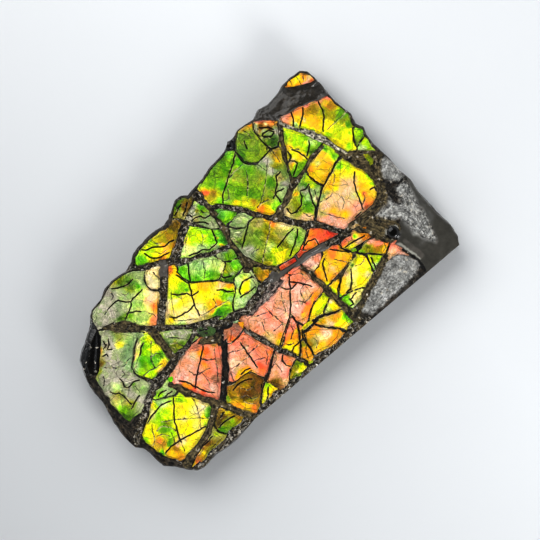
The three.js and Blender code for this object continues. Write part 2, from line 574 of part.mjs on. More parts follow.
// A rounded lump, turned from a half circle and set into the shale.
function lumpSolid({ at, radius, lift }) {
  const profile = Array.from({ length: LUMP_RINGS + 1 }, (_, i) => {
    const angle = -Math.PI / 2 + (Math.PI * i) / LUMP_RINGS;
    const onAxis = i === 0 || i === LUMP_RINGS;
    return new THREE.Vector2(onAxis ? 0 : radius * Math.cos(angle), radius * Math.sin(angle));
  });
  const geometry = new THREE.LatheGeometry(profile, LUMP_SIDES);
  geometry.rotateX(Math.PI / 2);
  geometry.scale(1, 1, LUMP_FLATNESS);
  geometry.rotateZ(at[0]);
  geometry.translate(at[0], at[1], SEAT_HEIGHT + lift);
  return solidFromGeometry(geometry);
}

// --- Assembly -----------------------------------------------------------------------------------------

const specimen = new THREE.Group();
const random = randomSource(7);

const plates = Object.entries(PLATES).map(([name, { colour, outline }]) => {
  const chipped = chipOutline(outline, random);
  return { name, colour, solid: plateSolid(chipped, random), pocket: pocketSolid(chipped) };
});

let shale = slabSolid(random);
for (const lump of LUMPS) shale = shale.add(lumpSolid(lump));
for (const { pocket } of plates) shale = shale.subtract(pocket);

function addMesh(name, solid, colour, roughness) {
  const material = new THREE.MeshStandardMaterial({ color: colour, roughness, metalness: 0 });
  const mesh = new THREE.Mesh(geometryFromSolid(solid), material);
  mesh.name = name;
  specimen.add(mesh);
}

addMesh('matrix', shale, SHALE_COLOUR, SHALE_ROUGHNESS);
plates.forEach(({ name, colour, solid }, i) => {
  const earlier = plates.slice(0, i);
  const fitted = earlier.reduce((rest, neighbour) => rest.subtract(neighbour.pocket), solid);
  addMesh(`shell_${name}`, fitted, colour, SHELL_ROUGHNESS);
});

// Centre the whole on the origin.
specimen.updateMatrixWorld(true);
const middle = new THREE.Box3().setFromObject(specimen).getCenter(new THREE.Vector3());
for (const mesh of specimen.children) mesh.position.set(-middle.x, -middle.y, 0);

export default specimen;
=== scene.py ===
"""Ammolite hand specimen: iridescent shell plates, broken apart and held in a slab of dark shale."""
import json
import math
import random

import bmesh
import bpy
import numpy as np
from mathutils import Matrix, Vector
from mathutils.bvhtree import BVHTree
from mathutils.geometry import delaunay_2d_cdt


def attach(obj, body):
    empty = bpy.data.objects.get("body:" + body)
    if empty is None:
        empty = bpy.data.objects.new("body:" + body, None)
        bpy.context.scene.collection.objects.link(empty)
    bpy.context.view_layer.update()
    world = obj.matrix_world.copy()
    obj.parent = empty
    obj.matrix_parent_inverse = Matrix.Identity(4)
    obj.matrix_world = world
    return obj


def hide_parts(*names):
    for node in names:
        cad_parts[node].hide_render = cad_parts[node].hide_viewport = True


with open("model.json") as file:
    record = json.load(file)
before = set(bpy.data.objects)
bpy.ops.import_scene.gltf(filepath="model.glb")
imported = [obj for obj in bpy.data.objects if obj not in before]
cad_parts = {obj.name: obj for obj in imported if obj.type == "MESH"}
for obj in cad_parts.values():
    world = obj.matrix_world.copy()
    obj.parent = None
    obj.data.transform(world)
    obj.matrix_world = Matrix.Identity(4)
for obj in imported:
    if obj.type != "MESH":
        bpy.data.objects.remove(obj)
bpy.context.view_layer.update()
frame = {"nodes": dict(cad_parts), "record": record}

bl_info = {
    "name": "Ammolite specimen",
    "version": (1, 0, 0),
    "blender": (4, 5, 0),
    "location": "View3D > Sidebar > Ammolite",
    "description": "Dresses a slab of shale and its shell plates as iridescent ammolite",
    "category": "Add Mesh",
}

# Lengths are in millimetres, unless a line multiplies them by this
MM = 0.001
# The level of the pockets' floors
SEAT = 4.8
# A face that looks up by more than this is a plate's top
FLAT = 0.8
# Where the sawn side lies, and where it starts and ends
SAWN_SIDE = -17.5
SAWN_START = -12.35
SAWN_END = 28.05
# How dark a tight seam is beside an open crack
SEAM_SHADE = 0.36
# Distance between the ridges along a vein, and how far and how strongly it soils the shell
RIDGE_SPACING = 0.42
SOIL_REACH = 0.32
SOIL_STRENGTH = 0.62
# How far a loose chip tilts, and how deep it reaches into its vein
CHIP_TILT = 0.06
CHIP_DEPTH = 0.25
# A gap past all others, and a length that counts as none
FAR = 1e3
TINY = 1e-12
# Multipliers that scramble a cell's column, row and seed into its noise
COLUMN_MIX = 374761393
ROW_MIX = 668265263
SEED_MIX = 144665
LAST_MIX = 1274126177
# Roughness, relief and glints of the sawn side and of a glossy knob
SAWN_LOOK = (0.35, 0.25, 0.04)
BOSS_LOOK = (0.10, 0.0, 0.0)
BOSS_COLOUR = (20, 20, 18)
# The tables' grid: the length of a step, its turn against the specimen and the place of its start
GRID_STEP = 0.15
GRID_TURN = np.array(((0.7615, -0.648), (-0.648, -0.7615)))
GRID_START = np.array((-0.675, 55.15))

# Round glossy knobs: x and y on the tables' grid, and their reach in its steps
BOSSES = ((393, 232, 6.2),)


def linear(colour):
    """A colour from 0 to 255, as the shader wants it."""
    parts = [value / 255 for value in colour]
    return tuple(p / 12.92 if p <= 0.04045 else ((p + 0.055) / 1.055) ** 2.4 for p in parts) + (1.0,)


# Every colour place on the shell is a mix of three measures: play runs through the spectrum from
# deep green at 0 to red at 1, milk pales the colour and gloom dulls it towards bare brown shell.
SHELL_TONES = {
    "emerald": (0.12, 0.00, 0.05), "jade": (0.16, 0.40, 0.03), "teal": (0.04, 0.12, 0.62),
    "vivid": (0.26, 0.00, 0.00), "leaf": (0.30, 0.00, 0.38), "forest": (0.24, 0.00, 0.70),
    "moss": (0.37, 0.10, 0.56), "sage": (0.31, 0.50, 0.38), "mint": (0.30, 0.42, 0.02),
    "pistachio": (0.38, 0.34, 0.14), "lime": (0.38, 0.00, 0.00), "citron": (0.44, 0.00, 0.20),
    "olive": (0.45, 0.00, 0.66), "khaki": (0.48, 0.34, 0.52), "lemon": (0.50, 0.00, 0.00),
    "pale_lemon": (0.50, 0.42, 0.00), "cream": (0.56, 0.60, 0.00), "smoke": (0.32, 0.86, 0.40),
    "amber": (0.62, 0.00, 0.00), "gold": (0.65, 0.00, 0.18), "bronze": (0.63, 0.00, 0.56),
    "umber": (0.68, 0.00, 0.84), "orange": (0.73, 0.00, 0.00), "peach": (0.69, 0.48, 0.00),
    "salmon": (0.82, 0.42, 0.00), "coral": (0.83, 0.22, 0.00), "pink": (0.88, 0.58, 0.00),
    "rosewood": (0.84, 0.35, 0.48), "flame": (0.84, 0.00, 0.00), "red": (0.95, 0.00, 0.04),
}

# Every plate: its colour places as tone,x,y,reach, then its open cracks, then its seams, as lines of x,y with
# upright strokes between them. Every x runs to the right and every y down, in steps of the tables' grid.
PLATE_LOOKS = """
smoke_upper: smoke,104,308,9 smoke,113,314,7 smoke,104,293,5 olive,119,283,4 moss,128,287,4 sage,125,297,5
  vivid,136,286,2.5 sage,141,283,3 mint,130,303,2.5 pistachio,141,300,6 pistachio,139,318,5 peach,150,300,3.5
  orange,155,308,3 coral,154,319,3 cream,148,293,3 leaf,128,317,3 forest,121,321,3 khaki,113,287,3 / 109,308
  114,303 118,300 125,302 131,301 133,298 138,294 142,290 | 131,301 131,307 128,313 126,319 | 127,314 131,313
  136,311 141,312 | 112,289 118,288 127,285 132,280 / 121,294 125,295 129,293 | 111,300 113,296 111,292 |
  149,313 153,314 156,317 | 105,315 108,309 112,306
cream: cream,152,280,5 peach,157,277,2 cream,154,270,2 / / 153,272 156,276 159,279
amber_shoulder: umber,172,227,3 bronze,168,233,4 olive,160,240,3.5 citron,150,244,4 amber,160,244,2.5
  bronze,170,241,3 lime,149,253,4 lemon,156,250,3 amber,164,251,3 orange,163,257,2.5 lemon,169,257,2.5
  vivid,145,261,3.5 lemon,155,261,2 / 141,250 146,250 151,248 158,247 165,246 170,242 174,240 | 145,254
  150,258 157,258 163,256 168,253 / 155,252 160,254 166,250 | 152,240 155,244 161,243
olive_crust: forest,178,206,4 khaki,182,213,3 umber,186,206,3 olive,176,214,3 / 175,216 178,210 181,204 |
  183,216 185,210 187,203 /
pale_wedge: smoke,191,211,5 smoke,189,218,3 sage,203,224,5 vivid,202,206,2.5 leaf,205,211,3 olive,198,209,2
  khaki,196,217,2.5 lemon,190,197,2 sage,210,221,3 / 186,216 190,215 192,217 | 191,221 195,218 200,216 205,218
  210,215 | 190,223 197,223 203,222 208,224 / 200,210 203,213 207,212
leaf_window: citron,191,236,3 lime,196,240,5 lime,204,236,5 vivid,213,240,4 vivid,206,233,3 mint,200,247,4
  pistachio,190,250,3 mint,183,250,3 peach,185,246,1.2 amber,188,238,1.5 emerald,219,236,3 emerald,222,241,3
  bronze,217,237,1.5 amber,221,245,1.8 sage,214,247,2 / 212,229 214,235 217,242 | 217,242 213,247 209,250
  202,250 197,253 190,255 / 186,252 186,244 187,237 | 201,231 203,238 202,246
mint: vivid,183,270,4 vivid,186,276,3 mint,196,266,7 mint,207,263,5 pistachio,217,266,4 cream,219,270,2
  vivid,196,279,4 vivid,209,277,5 leaf,214,276,3 / 188,262 188.5,268 189,275 190,282 / 203,262 205,270 204,279
mint_chip: sage,222,257,3 leaf,229,257,3 mint,226,252,2 / /
lime_step: leaf,224,276,3 vivid,234,266,2 leaf,219,280,2.5 forest,229,278,3.5 olive,226,271,2
  smoke,232,274,1.5 moss,230,270,2 / 221,276 224,278 230,276 /
lemon_field: flame,170,270,2.5 amber,175,270,2 lemon,172,280,4 lime,179,284,3 vivid,185,287,1.6 lime,175,294,4
  lemon,180,303,5 pale_lemon,176,300,4 pale_lemon,183,312,5 cream,168,303,2.5 peach,167,312,2.2
  amber,205,285,4 lemon,203,295,5 amber,208,303,4 lemon,215,295,4 lime,226,295,4 orange,219,304,3
  orange,208,310,2 peach,222,286,2.5 orange,228,288,2 pale_lemon,195,310,4 cream,200,316,2.5
  emerald,215,314,2.2 vivid,222,310,2.4 leaf,223,315,2 mint,231,299,2 mint,182,324,2 cream,190,321,2
  amber,172,320,1.5 / 172,294 180,295 187,293 192,296 198,292 | 188,280 190,287 192,296 194,303 196,308
  199,315 | 217,290 223,290 227,292 233,291 | 170,317 176,318 185,313 190,310 195,304 | 177,275 182,279
  188,283 / 171,292 172,304 174,315 | 168,314 172,317 175,321 | 199,315 205,314 212,309 220,305 229,300 |
  213,299 216,304 214,308 | 176,321 186,320 196,319
lemon_eye: lemon,246,286,3.5 amber,248,291,2 lemon,243,292,2 mint,237,283,2.5 mint,247,298,3 sage,256,283,3
  smoke,256,276,3 sage,253,292,2 mint,240,300,2 / 240,294 240,287 243,281 248,279 252,277 | 241,297 245,294
  251,291 254,287 / 253,280 256,285 255,291 | 251,276 257,279 261,284
olive_chip: olive,257,273,2.5 bronze,262,275,3 amber,264,278,1.5 vivid,254,271,1 / /
emerald: vivid,228,215,3 emerald,224,214,2 leaf,226,220,2 lime,231,215,1.5 / /
sage: sage,238,221,4 sage,246,218,2 vivid,249,217,1.2 smoke,237,227,2 / /
olive_leaf: sage,238,233,5 moss,246,240,5 smoke,247,253,4 khaki,257,225,3 moss,258,240,6 olive,270,235,5
  amber,267,221,1.5 orange,274,224,1.8 cream,287,226,3 khaki,283,232,3 olive,285,243,4 pistachio,293,236,4
  citron,276,254,4 citron,286,253,4 citron,278,262,3 olive,265,262,4 pistachio,270,250,3 leaf,298,238,2 /
  249,222 247,230 244,240 242,248 | 293,229 288,234 283,240 278,247 | 298,229 297,237 293,248 290,256 /
  270,222 269,232 266,244 264,255 262,265 | 232,238 238,242 243,246 | 252,254 255,251 259,249
spring_green: forest,222,160,4 leaf,216,166,5 leaf,212,180,5 vivid,219,186,3 bronze,211,193,2.5
  citron,217,193,3 vivid,220,200,2.5 vivid,230,155,3 vivid,240,162,3 leaf,228,165,4 moss,236,175,4
  leaf,248,172,6 moss,246,180,5 leaf,236,185,5 moss,250,184,5 leaf,240,195,5 moss,258,176,4 leaf,256,192,5
  citron,246,201,4 amber,238,203,2.5 bronze,254,203,2 orange,264,210,2.5 amber,270,211,2.5 vivid,275,206,2.5
  olive,254,142,4 moss,258,150,4 sage,254,157,4 leaf,240,150,4 sage,243,148,2 amber,263,148,2.5
  bronze,273,155,3 amber,275,158,2 smoke,263,163,4 sage,262,170,3 olive,274,165,3 smoke,272,172,3
  leaf,272,184,4 khaki,279,180,3 smoke,283,186,3 moss,268,193,4 sage,281,192,3 olive,264,200,3
  forest,244,158,3 flame,203,192,1.5 / 235,153 234,159 232,166 229,176 226,184 223,194 223,203 | 236,153
  241,160 246,164 250,165 | 244,141 247,148 248,156 251,161 255,165 259,162 265,155 268,152 | 280,172 276,176
  277,185 275,194 278,197 282,204 | 253,130 257,136 263,144 267,150 | 283,189 277,192 274,198 / 268,158
  267,168 266,180 264,190 261,202 258,208 | 268,152 271,150 276,156 280,162 | 256,163 262,168 266,171 |
  242,165 235,171 230,178 | 228,189 229,199 223,201 | 268,200 262,203 257,207 | 246,170 248,182 247,196
olive_shoulder: moss,247,135,4 bronze,244,127,3 olive,240,131,2 orange,249,124,1.5 moss,243,143,4
  leaf,240,149,3 / 244,141 246,145 247,148 / 243,131 248,133 251,138
rust_eye: flame,262,121,3 coral,256,123,2 orange,272,122,2.5 smoke,256,127,2 cream,268,125,1.2
  umber,262,128,2.4 umber,270,128,2.4 sage,268,133,2.4 smoke,264,132,1.5 moss,266,141,4 forest,271,143,3
  smoke,277,132,2.5 / 259,127 263,128 268,127 273,129 | 262,136 264,132 269,130 274,132 272,136 266,137
  262,136 / 257,128 258,134 261,138 | 263,138 270,137 275,140
lime_band: lime,286,134,3 citron,290,137,3 lime,298,140,4 citron,299,147,4 lime,304,142,3 leaf,309,147,2.5
  mint,312,142,2 forest,311,150,2.5 amber,289,146,2 lemon,293,152,3 amber,301,156,3.5 lemon,305,158,2
  lemon,287,158,2 peach,291,163,2.5 amber,293,166,2 lemon,290,168,2 leaf,299,168,4 leaf,295,175,3
  vivid,293,178,2 / 292,150 298,152 303,155 307,159 | 288,152 291,156 290,161 287,164 | 290,161 294,161
  297,163 296,170 293,175 | 309,141 309,148 307,156 / 289,146 293,150 299,149
top_plate: flame,325,97,2 coral,330,98,2.2 coral,318,101,2 coral,308,105,2.4 orange,298,110,2.5
  coral,288,114,3 salmon,284,116,2 amber,296,118,3 bronze,312,109,3.5 amber,310,118,4 cream,305,117,1.2
  amber,316,124,3.5 lime,303,126,2.5 lime,312,129,3 amber,328,104,2.5 bronze,333,106,3 citron,340,104,2.5
  leaf,341,113,4 olive,330,112,4 citron,327,119,3 olive,343,119,2.5 leaf,348,123,2 lemon,330,125,4
  lemon,342,128,5 amber,345,124,2 lemon,345,140,5 lime,329,132,2.5 lime,351,133,2 vivid,351,145,2
  lime,349,149,2 mint,295,122,2 / 318,101 320,106 323,111 324,117 323,124 323,131 | 303,108 303,114 301,121
  300,127 | 291,113 293,119 294,128 / 346,112 340,118 334,123 328,129
tip_cap: lemon,296,77,2 amber,291,81,3 amber,302,79,2.5 peach,310,78,3 flame,312,80,1.8 orange,288,84,2.5
  orange,298,84,2 salmon,306,83,1.5 bronze,303,73,2 / / 297,77 299,81 301,85 | 303,76 304,81 | 290,80 292,85
apricot_wedge: vivid,328,151,2 vivid,333,156,2 amber,326,158,4 amber,320,170,5 gold,313,173,3 gold,325,180,3
  pale_lemon,318,163,2 / 308,176 314,180 320,184 324,186 /
peach_fan: vivid,340,165,1.5 lime,347,168,2 lemon,352,170,2.5 lemon,345,172,3 vivid,366,175,2 lime,371,180,2
  lemon,362,178,4 amber,333,178,3 lemon,336,186,3 peach,345,190,6 amber,362,187,4 amber,370,193,3
  orange,366,195,2.5 lemon,361,196,2.5 flame,366,205,2 orange,371,202,2 cream,352,196,3 peach,330,205,5
  peach,342,203,4 amber,333,211,4 amber,344,214,3 salmon,355,208,4 salmon,347,222,4 salmon,335,224,4
  coral,357,217,2 flame,360,214,1.5 pink,330,219,3 khaki,322,212,2 amber,325,187,3 khaki,325,193,2
  sage,322,197,2 / 355,172 354,182 356,191 360,201 363,209 | 361,212 356,217 | 371,189 375,187 378,192 376,200
  / 320,202 326,200 331,196 333,193 | 320,212 327,214 335,217 344,218 | 341,196 344,203 342,209 | 333,171
  335,176 333,184 | 364,192 365,200 362,206
pistachio: citron,308,181,3 leaf,305,186,2.5 lemon,312,186,1.5 smoke,307,192,3 leaf,303,200,3 mint,308,200,3
  leaf,307,208,4 khaki,290,207,3 olive,297,205,3 amber,298,196,1.5 cream,284,214,3 peach,305,217,3
  peach,313,220,2 sage,313,194,2 cream,316,200,1.5 / 300,191 302,197 301,205 297,211 291,214 287,209 | 309,187
  310,194 312,200 315,207 315,214 315,222 | 300,191 305,189 309,184 / 315,190 316,196 318,203 | 303,213
  309,216 314,215
edge_chip: mint,363,145,2 lime,366,140,2.5 lime,369,146,2 citron,365,138,2 / /
lime_edge: lime,358,130,2.5 leaf,360,136,2.5 vivid,361,127,2 moss,357,139,2 / /
flame: flame,318,232,5 red,330,234,3 orange,312,231,2.5 orange,313,244,4 amber,309,242,1.5 flame,322,242,3
  flame,300,252,4 coral,298,256,2 pink,316,240,1 / 304,246 308,241 315,239 317,242 320,247 | 309,230 307,237
  304,244 303,250 / 299,248 303,251 307,250
pink: pink,310,263,4 coral,316,259,2 cream,315,269,2.5 salmon,308,267,2 / /
tangerine: flame,337,246,2 orange,334,252,3 amber,342,254,4 amber,345,262,3 amber,335,262,5 peach,332,266,3
  amber,340,268,4 orange,318,270,2 amber,321,264,2.5 amber,328,277,3 lemon,326,283,2 amber,321,279,2.5 /
  330,249 335,250 342,251 349,252 | 324,259 323,265 325,272 327,281 / 334,259 341,261 347,262
orange_ledge: flame,344,242,3 coral,350,238,3 vivid,356,236,1.5 orange,365,236,2.5 peach,360,239,2
  lemon,352,245,2.5 lemon,347,248,2 / 345,247 351,243 358,239 364,236 /
coral_olive: salmon,372,241,3 coral,380,243,3 olive,370,247,4 bronze,378,249,3 orange,384,244,2.5
  amber,385,250,2 leaf,365,251,2 citron,378,254,2 / / 384,243 386,247 384,251
coral_point: coral,391,245,2.5 peach,393,251,2.5 salmon,399,251,2 / /
lemon_slope: lemon,358,258,3 lemon,365,260,4 pale_lemon,355,272,4 lemon,362,268,5 cream,368,274,2
  pale_lemon,352,283,3 lemon,363,281,3.5 amber,345,283,4 peach,347,275,2 amber,343,291,3 vivid,340,296,1.5
  forest,352,268,1.4 / 351,270 352,280 351,289 346,293 | 339,293 340,284 341,278 / 364,257 364,261 360,265
  355,266
lemon_sliver: amber,334,286,2.5 lime,332,289,2 lemon,336,292,1.5 / /
lime_wedge: citron,376,257,3 lemon,371,258,2 lime,380,259,1.5 mint,377,264,2 leaf,372,262,2 / 371,258 374,264
  376,269 /
pale_lime: vivid,347,298,3 vivid,350,305,2.5 pale_lemon,357,298,4 mint,353,307,2.4 mint,360,302,2 / 350,299
  354,304 350,306 | 351,299 356,293 /
salmon_main: salmon,260,322,8 coral,266,318,5 salmon,275,310,6 salmon,282,303,5 peach,286,313,2
  salmon,275,295,4 pink,268,300,4 salmon,285,290,3 pink,297,290,5 peach,302,295,4 pink,296,308,5
  orange,314,297,3 amber,312,302,2 orange,307,308,3 amber,303,313,2.5 flame,305,304,1.4 red,302,311,1.1
  orange,309,316,2 coral,296,317,2 coral,292,282,3 flame,288,272,2 coral,300,276,3 coral,255,330,4
  peach,268,338,3 orange,280,336,3 amber,279,342,2 salmon,273,330,4 / 290,296 291,305 290,313 288,322 285,331
  282,339 280,346 | 290,313 294,318 297,323 | 281,287 286,289 291,289 296,284 | 289,276 290,288 290,296 |
  289,282 296,282 303,284 311,286 / 265,307 270,312 277,318 284,325 | 252,318 260,315 268,312 | 262,322
  264,329 269,335 | 273,331 279,327 283,323 | 304,284 300,292 304,299 302,305 | 313,293 308,300 301,304 |
  255,333 262,337 270,342 | 281,293 283,303 286,312 | 292,302 299,301 306,303 | 285,273 292,275 300,273
  306,276
sunset_tongue: salmon,289,322,3 coral,292,330,3 orange,294,338,3 amber,296,344,2.5 lemon,288,350,3
  lemon,295,350,2 orange,285,343,2.5 coral,286,335,2 amber,297,333,2 / 299,342 294,347 292,353 / 283,344
  289,345 294,343 | 291,322 293,331 291,339
yellow_strip: lemon,320,301,5 lemon,314,312,4 citron,325,297,2 / /
lemon_corner: peach,330,302,2 pale_lemon,328,307,2.5 lemon,334,306,3 cream,333,303,1.5 amber,336,309,1.5 / /
gold: gold,322,321,3 peach,331,323,3 cream,327,325,1.5 gold,336,317,3 vivid,346,317,2 lemon,340,324,3
  citron,320,320,1.5 forest,338,318,1 / 317,325 325,327 333,328 339,328 /
honey: gold,309,333,3 gold,318,329,3 peach,324,333,3 cream,320,337,2.5 khaki,315,341,3 bronze,310,342,3
  gold,334,336,3 gold,330,343,2.5 amber,320,348,3 bronze,325,352,2 / 304,334 306,341 311,348 313,353 / 314,338
  318,343 317,348
gold_corner: gold,305,350,4 gold,308,357,2 olive,303,345,2 / / 307,345 306,352 308,358
salmon_quad: coral,240,340,4 salmon,233,355,5 salmon,245,350,5 coral,252,344,4 peach,236,365,4
  salmon,248,362,4 coral,262,350,5 coral,264,360,4 orange,270,352,2 flame,262,368,3 salmon,257,370,2
  pink,232,372,3 orange,247,371,2 amber,240,374,2 coral,231,382,2.5 amber,250,375,2 / 241,343 246,351 251,358
  257,367 | 241,374 245,370 250,368 / 230,352 238,351 243,348 248,346 | 231,369 238,365 244,360 249,356 |
  249,353 254,349 259,345 | 253,362 259,359 265,358 | 231,370 232,378 235,384 | 266,350 268,356 266,364
salmon_chip: rosewood,235,331,3 orange,234,338,2.5 coral,230,341,2 flame,232,336,2 / /
salmon_tail: salmon,277,358,4 peach,273,360,2 coral,284,356,3 salmon,272,372,4 pink,282,366,3 orange,288,365,2
  coral,286,372,2 peach,285,380,2 umber,275,382,3 / 283,356 282,361 286,365 290,366 / 270,368 276,364 279,367
  282,372 | 275,354 277,360 273,366
umber_fan: bronze,245,384,4 umber,258,385,4 bronze,236,393,3 orange,239,394,1.5 umber,248,392,6
  olive,250,398,3 orange,238,404,3 amber,246,406,3 orange,253,409,3 lemon,258,407,1.5 bronze,256,401,3
  leaf,230,397,1.5 / 233,390 238,384 245,380 252,379 | 262,384 262,395 261,405 / 240,398 246,395 252,399
  258,397 | 241,388 247,390 253,387 | 243,401 249,404 255,403
lime_kidney: olive,294,373,2.5 citron,302,366,2.5 pale_lemon,299,369,1.2 olive,297,364,2 / /
olive_toe: lime,265,387,2 lemon,266,393,2.5 amber,269,396,2 orange,272,396,1.5 lemon,264,400,2 / 268,388
  268,396 267,402 /
ember: coral,213,349,4 flame,207,350,3 orange,200,352,3 peach,192,357,3 salmon,188,362,4 coral,208,362,5
  orange,203,365,3 salmon,195,372,4 coral,212,375,4 pink,184,374,3 peach,190,380,2.5 salmon,205,385,4
  pink,212,388,3 orange,189,385,2.5 flame,196,389,2 flame,205,393,2 coral,214,396,2 orange,184,382,2
  rosewood,218,360,3 rosewood,218,380,3 rosewood,196,347,3 bronze,214,344,2 / 203,346 202,353 200,361 198,370
  196,380 195,388 | 180,381 186,382 192,385 200,389 208,392 214,392 / 200,359 207,360 214,359 | 214,348
  215,356 217,368 218,382 | 192,374 197,375 203,372 210,368 | 202,373 206,378 210,384 | 190,371 194,376
  199,372
smoke_lower: smoke,104,345,4 khaki,117,335,2 lemon,119,342,2.2 citron,122,343,1.5 smoke,112,347,3
  sage,122,352,4 jade,128,349,3 jade,129,357,3 jade,127,367,2.5 smoke,115,360,5 smoke,108,372,5
  smoke,120,374,5 smoke,132,378,5 mint,117,387,2.5 smoke,110,388,3 leaf,134,384,2.2 sage,139,388,4
  mint,144,388,2 smoke,130,393,4 khaki,120,398,4 pistachio,119,403,2 vivid,119,408,1.5 leaf,126,412,2.5
  moss,131,405,2.5 forest,126,418,3 smoke,142,403,3 bronze,98,348,3 umber,99,362,3 olive,99,372,2.5 / 103,341
  106,345 103,349 | 108,340 109,345 107,349 112,349 | 103,356 106,354 108,356 | 120,379 123,382 124,387
  127,388 130,386 | 130,386 134,382 139,380 | 111,392 115,394 119,393 124,396 127,400 131,404 | 139,396
  135,402 132,409 / 124,366 127,361 131,358 | 104,367 110,368 117,368 122,367 124,365 | 130,386 135,386
  140,392 | 104,377 105,382 104,386 | 122,371 125,374 121,378
green_heart: cream,138,346,3 peach,135,356,2.5 mint,137,366,3.5 mint,136,374,3 lime,147,350,5 lemon,153,342,4
  lemon,157,347,3 vivid,148,358,5 vivid,155,358,3 leaf,160,354,3 lime,150,366,3 citron,158,364,2
  amber,162,362,2.5 peach,161,368,2 orange,163,367,1.5 lime,145,372,3 lime,152,376,3 leaf,147,366,3
  vivid,143,345,2 / 143,343 141,349 140,354 / 140,354 137,363 134,371 | 151,357 152,362 154,367 | 151,342
  151,350 151,357 155,354 159,353 | 144,376 149,371 156,367 162,364
olive_glass: smoke,180,337,3 sage,172,339,3 olive,175,344,3 forest,183,344,3 olive,180,348,3 khaki,172,348,3 /
  / 170,338 178,338 188,339 | 170,344 177,343 184,346
citrus: mint,163,403,4 lime,165,412,5 lime,160,418,4 lemon,155,405,3 pale_lemon,151,413,3 lemon,150,428,3
  lemon,150,436,3 amber,149,430,1.5 lime,147,440,2 leaf,165,430,4 olive,168,426,2 citron,163,438,3
  gold,160,442,4 bronze,164,446,2.5 leaf,170,445,3 lime,172,437,2.5 vivid,163,453,1.5 lime,182,399,3
  lemon,183,410,8 pale_lemon,196,410,5 cream,203,406,4 cream,200,414,3 lemon,190,425,8 pale_lemon,186,420,4
  pale_lemon,195,425,4 vivid,211,409,3 vivid,211,418,2.5 lime,207,424,2 lemon,205,418,3 cream,186,439,3
  lemon,192,440,4 amber,190,437,2 lemon,188,448,3 lime,190,451,1.5 peach,181,445,2 bronze,178,449,3
  amber,176,454,3 orange,178,458,2.5 gold,172,451,2.5 / 173,398 174,406 174,414 175,422 177,430 179,437
  181,442 | 166,453 171,447 178,442 184,438 192,434 200,430 206,426 | 148,422 151,417 156,411 161,405 170,401
  / 162,422 172,420 185,419 197,418 211,418 | 193,398 196,405 198,412 200,420 201,429 | 152,425 153,432
  155,440 153,447 | 171,432 173,438 175,444 | 181,442 183,447 185,451 | 157,430 163,426 170,427 176,431 |
  158,436 164,434 170,437
mint_crust: mint,163,392,3 lime,158,393,2 sage,168,396,3 / 158,396 162,392 166,390 | 163,398 168,394 172,392 /
strip_upper: lemon,227,414,1.8 olive,232,414,1.5 bronze,228,416,1.5 umber,222,419,2 bronze,234,418,3
  olive,226,424,3 leaf,224,430,2.5 citron,231,423,2 umber,220,424,2 / 220,418 224,413 | 218,428 226,421
  234,416 /
strip_lower: khaki,214,436,3 citron,217,433,1.5 citron,207,446,1.2 umber,210,442,3.5 olive,202,450,2
  umber,205,447,2 lemon,206,453,1.2 bronze,197,458,2.5 orange,197,461,2 amber,193,465,2 olive,214,447,3 /
  200,448 206,443 212,437 / 211,451 214,446 218,441 | 198,456 203,450
red_sliver: flame,283,265,2.5 coral,288,263,2 red,292,261,2 orange,279,268,1.5 / /
"""

